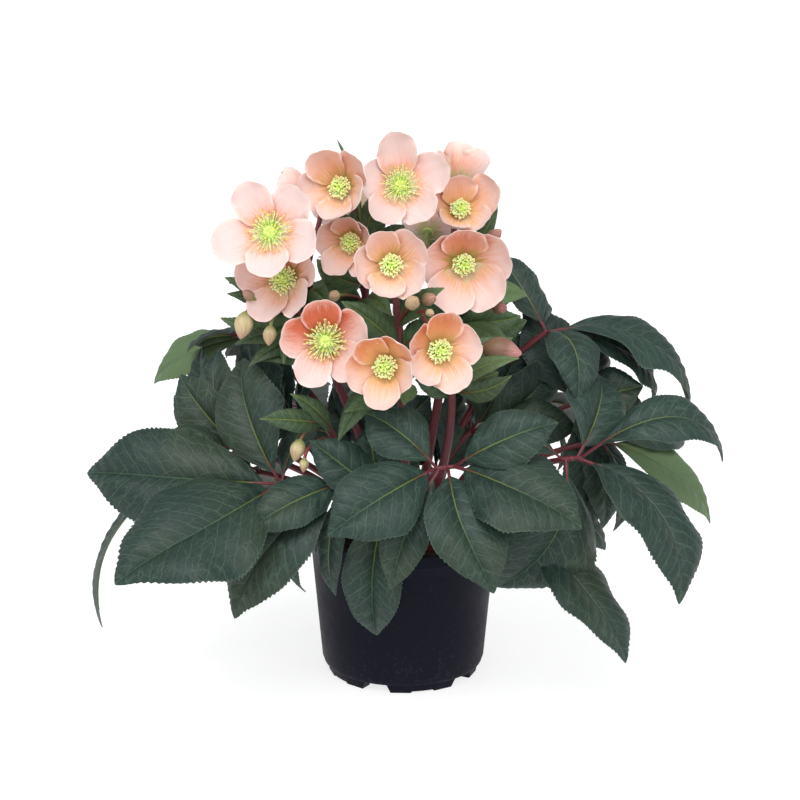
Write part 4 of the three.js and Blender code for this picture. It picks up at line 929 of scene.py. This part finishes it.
# The second tone number is each point's coral share: the bloom's own coral, deepened by painted shade on the
# upper sepals.
inside, coral, rosy = read(shader, "tone")
where = coordinates(shader)
cloud = blotchy(where, 45.0, 1.3)
spread = times(v, times(u, 3.0, 5.0))
shift = times(seed, 37.0)
streak = noise(join(spread, times(u, 1.1), shift), 2.2, 3.0)
line = noise(join(times(v, 16.0), times(u, 1.6), shift), 1.5, 2.0)
line = step(math("ABSOLUTE", less(line, 0.5)), 0.0, 0.035, 1.0, 0.0)
way = times(less(streak, 0.5), -0.65, u)
way = times(less(cloud, 0.5), 0.3, way)
eye = mix(step(coral, 0.03, 0.12), (0.80, 0.74, 0.60), (0.27, 0.23, 0.04))
deep = mix(coral, (0.74, 0.36, 0.20), (0.34, 0.05, 0.014))
middle = mix(coral, (0.78, 0.51, 0.46), (0.54, 0.10, 0.045))
tip = mix(coral, (0.73, 0.57, 0.545), (0.74, 0.38, 0.31))
face = mix(step(way, 0.19, 0.34), eye, deep)
face = mix(step(way, 0.27, 0.48), face, middle)
outer = times(coral, 0.32)
share = step(way, math("ADD", outer, 0.32), math("ADD", outer, 0.72))
face = mix(share, face, tip)
warmth = times(coral, 0.22, step(way, 0.3, 0.9, 0.5, 0.03))
apricot = times(less(1.0, rosy), warmth)
face = mix(apricot, face, (0.84, 0.46, 0.17))
face = mix(times(line, step(u, 0.1, 0.9, 0.22, 0.08)), face, (0.74, 0.26, 0.19))
flush = mix(coral, (0.86, 0.64, 0.60), (0.80, 0.40, 0.27))
back = mix(step(way, 0.05, 0.4), (0.50, 0.50, 0.22), flush)
back = mix(step(way, 0.4, 1.0, 0.0, 0.7), back, (0.87, 0.70, 0.68))
back = mix(times(line, 0.15), back, (0.66, 0.30, 0.24))
colour = mix(step(inside, 0.3, 0.7), back, face)
at_side = times(step(math("ABSOLUTE", v), 0.8, 0.98), step(u, 0.2, 0.5))
rim = math("MAXIMUM", at_side, step(u, 0.88, 0.985))
colour = mix(times(rim, 0.6), colour, (0.84, 0.66, 0.61))
feed(shader, Base_Color=colour, Normal=bump(times(line, -0.5, streak), 0.0003, 0.4))

radius, height = np.array(RECEPTACLE).T[..., None]
turn = full_turn(20)
receptacle = grid_of(radius * np.cos(turn), radius * np.sin(turn), height)
for number, (at, facing, spin, size, width, bowl, coral, rosy, _, _, lengths) in enumerate(BLOOMS):
    name = f"bloom_{number + 1:02d}"
    bloom = Piece(name + "_petals")
    place_bloom, _ = bloom_frame(at, facing, spin)
    for k in range(5):
        seed = (0.61 * number + 0.37 * k) % 1
        points, u, v, inside = sepal(size, width, bowl, k, lengths[k], seed)
        # Painted shade: the coral is deepened in the upper part of the bloom, a little to its left, where the
        # bowl's inner side is turned from the light, and fades downwards.
        placed = place_bloom(points)
        rise = unit(placed - at) @ [-0.25, 0, 0.95]
        tint = np.clip(coral * np.maximum(0.25 + rise + 0.08 * np.sin(5 * k + number), 0.1), 0, 1)
        bloom.skin(placed, (u, v, seed), (inside, tint, rosy))
    bloom.skin(place_bloom(receptacle), (height, turn, 0.5), (0.3, 0.05, 0.5), 1)
    bloom.build("sepal", [sepal_tissue, stalk_tissue], [name + "_sepals"], crease=70)

# ---- Blooms: bosses -------------------------------------------------------------------------------
# The boss in the middle of each bloom: a ring of small tubular nectaries, a lime cushion under a dense
# dome of thin filaments with their anthers, and the styles of the carpels between them.


def soft_finish(name, first, second, third, relief):
    """A matt tissue whose colour goes from the first to the second by the share along each strand, and
    to the third by the strand's own warmth, with soft blotches."""
    values = {"Subsurface_Weight": 0.5, "Subsurface_Scale": 0.001}
    material, shader = new_finish(name, Roughness=0.55, Specular_IOR_Level=0.3, **values)
    share, warmth = read(shader, "place")[0], read(shader, "tone")[1]
    where = coordinates(shader)
    colour = mix(warmth, mix(share, first, second), third)
    dim = mix(times(blotchy(where, 220.0, 1.6), 0.25), colour, tuple(0.6 * c for c in first))
    feed(shader, Base_Color=dim, Normal=bump(noise(where, 2500.0, 2.0), relief))
    return material


filament = soft_finish("filament tissue", (0.62, 0.80, 0.16), (0.93, 0.95, 0.60), (0.90, 0.66, 0.46), 0.0001)
anther = soft_finish("anther tissue", (0.74, 0.88, 0.28), (0.97, 0.95, 0.58), (0.86, 0.42, 0.06), 0.0003)
nectary = soft_finish("nectary tissue", (0.34, 0.52, 0.05), (0.60, 0.78, 0.10), (0.42, 0.40, 0.05), 0.0002)
style = soft_finish("style tissue", (0.66, 0.90, 0.20), (0.86, 0.97, 0.34), (0.80, 0.66, 0.30), 0.0001)


def strands(path, radius, columns):
    """Tubes along many paths at once: circles round each path's points, square to the middle of it."""
    along = unit(path[:, -1] - path[:, 0])
    across = unit(np.cross(along, [0.37, 0.11, 0.92]))[:, None, None]
    third = np.cross(along[:, None, None], across)
    around = full_turn(columns)[:, None]
    return path[:, :, None] + radius[:, None, None] * (across * np.cos(around) + third * np.sin(around))


GOLDEN_TURN, NECTARIES, NECTARY_REACH, CARPELS = 2.39996, 15, 10.6, 5
for number, (at, facing, spin, size, _, bowl, coral, _, spread, orange, _) in enumerate(BLOOMS, 1):
    boss = Piece(f"bloom_{number:02d}_stamens")
    place_bloom, _ = bloom_frame(at, facing, spin)
    # The stamens stand on a spiral of golden turns, and each filament is a curve bent at a knee.
    count, half = (150, 0.92) if spread < 15 else (130, 0.72)
    k = np.arange(count)
    angle = GOLDEN_TURN * k + 0.3 * np.sin(7.0 * k)
    out = np.sqrt((k + 0.5) / count)
    reach = spread * (0.16 + 0.84 * out) * (1 + 0.12 * np.sin(3.7 * k))
    lift = (11.5 - 0.25 * spread) - (4.5 + 0.05 * spread) * out**2 + 0.9 * np.sin(5.3 * k)
    tips = bowl_point(size, bowl, reach, angle, 0) + grid_of(0, 0, lift)
    feet = bowl_point(size, bowl, 2.4 + 2.2 * out, angle, 1.2)
    t = np.linspace(0, 1, 7)[:, None]
    knee = 0.45 * (feet + tips) + grid_of(0, 0, 0.42 * lift)
    lines = (1 - t) ** 2 * feet[:, None] + 2 * t * (1 - t) * knee[:, None] + t**2 * tips[:, None]
    tubes = strands(lines, np.linspace(0.36, 0.22, 7), 4)
    boss.skin(place_bloom(tubes), (t, 0, 0), (0.01 * k[:, None, None], 0.35 * orange * coral, 0))
    axis = unit(lines[:, -1] - lines[:, -2] + 0.6 * np.sin(k[:, None] * [1.1, 1.7, 2.3]))
    eggs = egg(tips[:, None, None], axis[:, None, None], half, 1.15, 5, 7)
    share = np.clip(1.5 * out - 0.5, 0, 1)[:, None, None]
    warm = np.clip((orange + 0.3 * np.sin(2.9 * k)) * out**2, 0, 1)[:, None, None]
    boss.skin(place_bloom(eggs), (share, 0, 0), (0.01 * k[:, None, None], warm, 0), 1)
    # The nectaries lie round them on the sepals' feet, straight and thickest in the middle.
    k = np.arange(NECTARIES)
    angle = 2 * np.pi * k / NECTARIES
    ends = bowl_point(size, bowl, NECTARY_REACH + 0.7 * np.sin(3 * k), angle, 3.0)
    feet = bowl_point(size, bowl, 4.2, angle, 1.0)
    t = np.linspace(0, 1, 6)[:, None]
    wide = 0.45 + 0.95 * np.sin(np.pi * np.linspace(0.12, 0.86, 6)) ** 1.3
    tubes = strands(feet[:, None] * (1 - t) + ends[:, None] * t, wide, 8)
    boss.skin(place_bloom(tubes), (t, 0, 0), (0.03 * k[:, None, None], 0.4 * coral, 0), 2)
    cushion = egg(np.array([0, 0, 2.4]), np.array([0, 0, 1.0]), 0.42 * min(spread, 14), 5.2, 9, 24)
    boss.skin(place_bloom(cushion), (0.45, 0, 0), (0.5, 0, 0), 3)
    # The styles rise from the middle, swing outwards with the square of the way and taper.
    k = np.arange(CARPELS)
    angle = 2 * np.pi * k / CARPELS + 0.4
    t = np.linspace(0, 1, 9)[:, None]
    radius = 1.5 + 2.2 * t**2 - 0.6 * np.sin(np.pi * t)
    swing = grid_of(radius * np.cos(angle), radius * np.sin(angle), 1.5 + (12.8 - 0.12 * spread) * t)
    tubes = strands(swing.transpose(1, 0, 2), 1.25 * (1 - t[:, 0]) ** 0.7 + 0.42, 8)
    boss.skin(place_bloom(tubes), (t, 0, 0), (0.03 * k[:, None, None], 0.15 * orange, 0), 3)
    boss.build("boss", [filament, anther, nectary, style], [f"bloom_{number:02d}_boss"], crease=80)

# ---- Studio ---------------------------------------------------------------------------------------
# A wide plain floor that curves up far behind and glows a little, so that it shows white, under soft
# daylight: a large light high in front on the left, a lower one on the right that fills the shadows, and
# an even, faintly blue surround.
FLOOR_EDGE = [(3, 0), (13, 0), (14.6, 0.2), (15.8, 0.8), (16.6, 1.8), (17, 3.4)]
FLOOR_COLUMNS = 96
radius, height = np.array(FLOOR_EDGE).T[..., None]
turn = full_turn(FLOOR_COLUMNS)
rings = grid_of(radius * np.cos(turn), radius * np.sin(turn), height).reshape(-1, 3)
sweep = ring_quads(len(FLOOR_EDGE), FLOOR_COLUMNS)[:, ::-1]
floor_mesh = bpy.data.meshes.new("studio_floor")
floor_mesh.from_pydata(rings.tolist(), [], [list(range(FLOOR_COLUMNS)), *sweep.tolist()])
floor_mesh.polygons.foreach_set("use_smooth", [True] * len(floor_mesh.polygons))
floor_paint, shader = new_finish(
    "floor paint", Roughness=0.9, Specular_IOR_Level=0.1, Emission_Color=(1, 1, 1, 1),
    Emission_Strength=0.77,
)
cloud = blotchy(coordinates(shader), 3.0, 1.0)
feed(shader, Base_Color=mix(cloud, (0.36, 0.36, 0.36), (0.39, 0.39, 0.39)))
floor_mesh.materials.append(floor_paint)
studio_floor = put("studio_floor", floor_mesh)

# Each light: its angles in degrees, its strength, and how wide it looks, in degrees.
LIGHTS = [("key_light", (32, 0, -24), 1.85, 45), ("fill_light", (64, 0, 24), 1.6, 70)]
for name, angles, energy, spread in LIGHTS:
    lamp = bpy.data.lights.new(name, "SUN")
    lamp.energy = energy
    lamp.angle = np.radians(spread)
    put(name, lamp).rotation_euler = np.radians(angles)

world = bpy.data.worlds.new("studio")
world.use_nodes = True
background = world.node_tree.nodes["Background"]
background.inputs[0].default_value = (0.93, 0.96, 1.0, 1)
background.inputs[1].default_value = 0.55
bpy.context.scene.world = world
bpy.context.scene.view_settings.view_transform = "Standard"
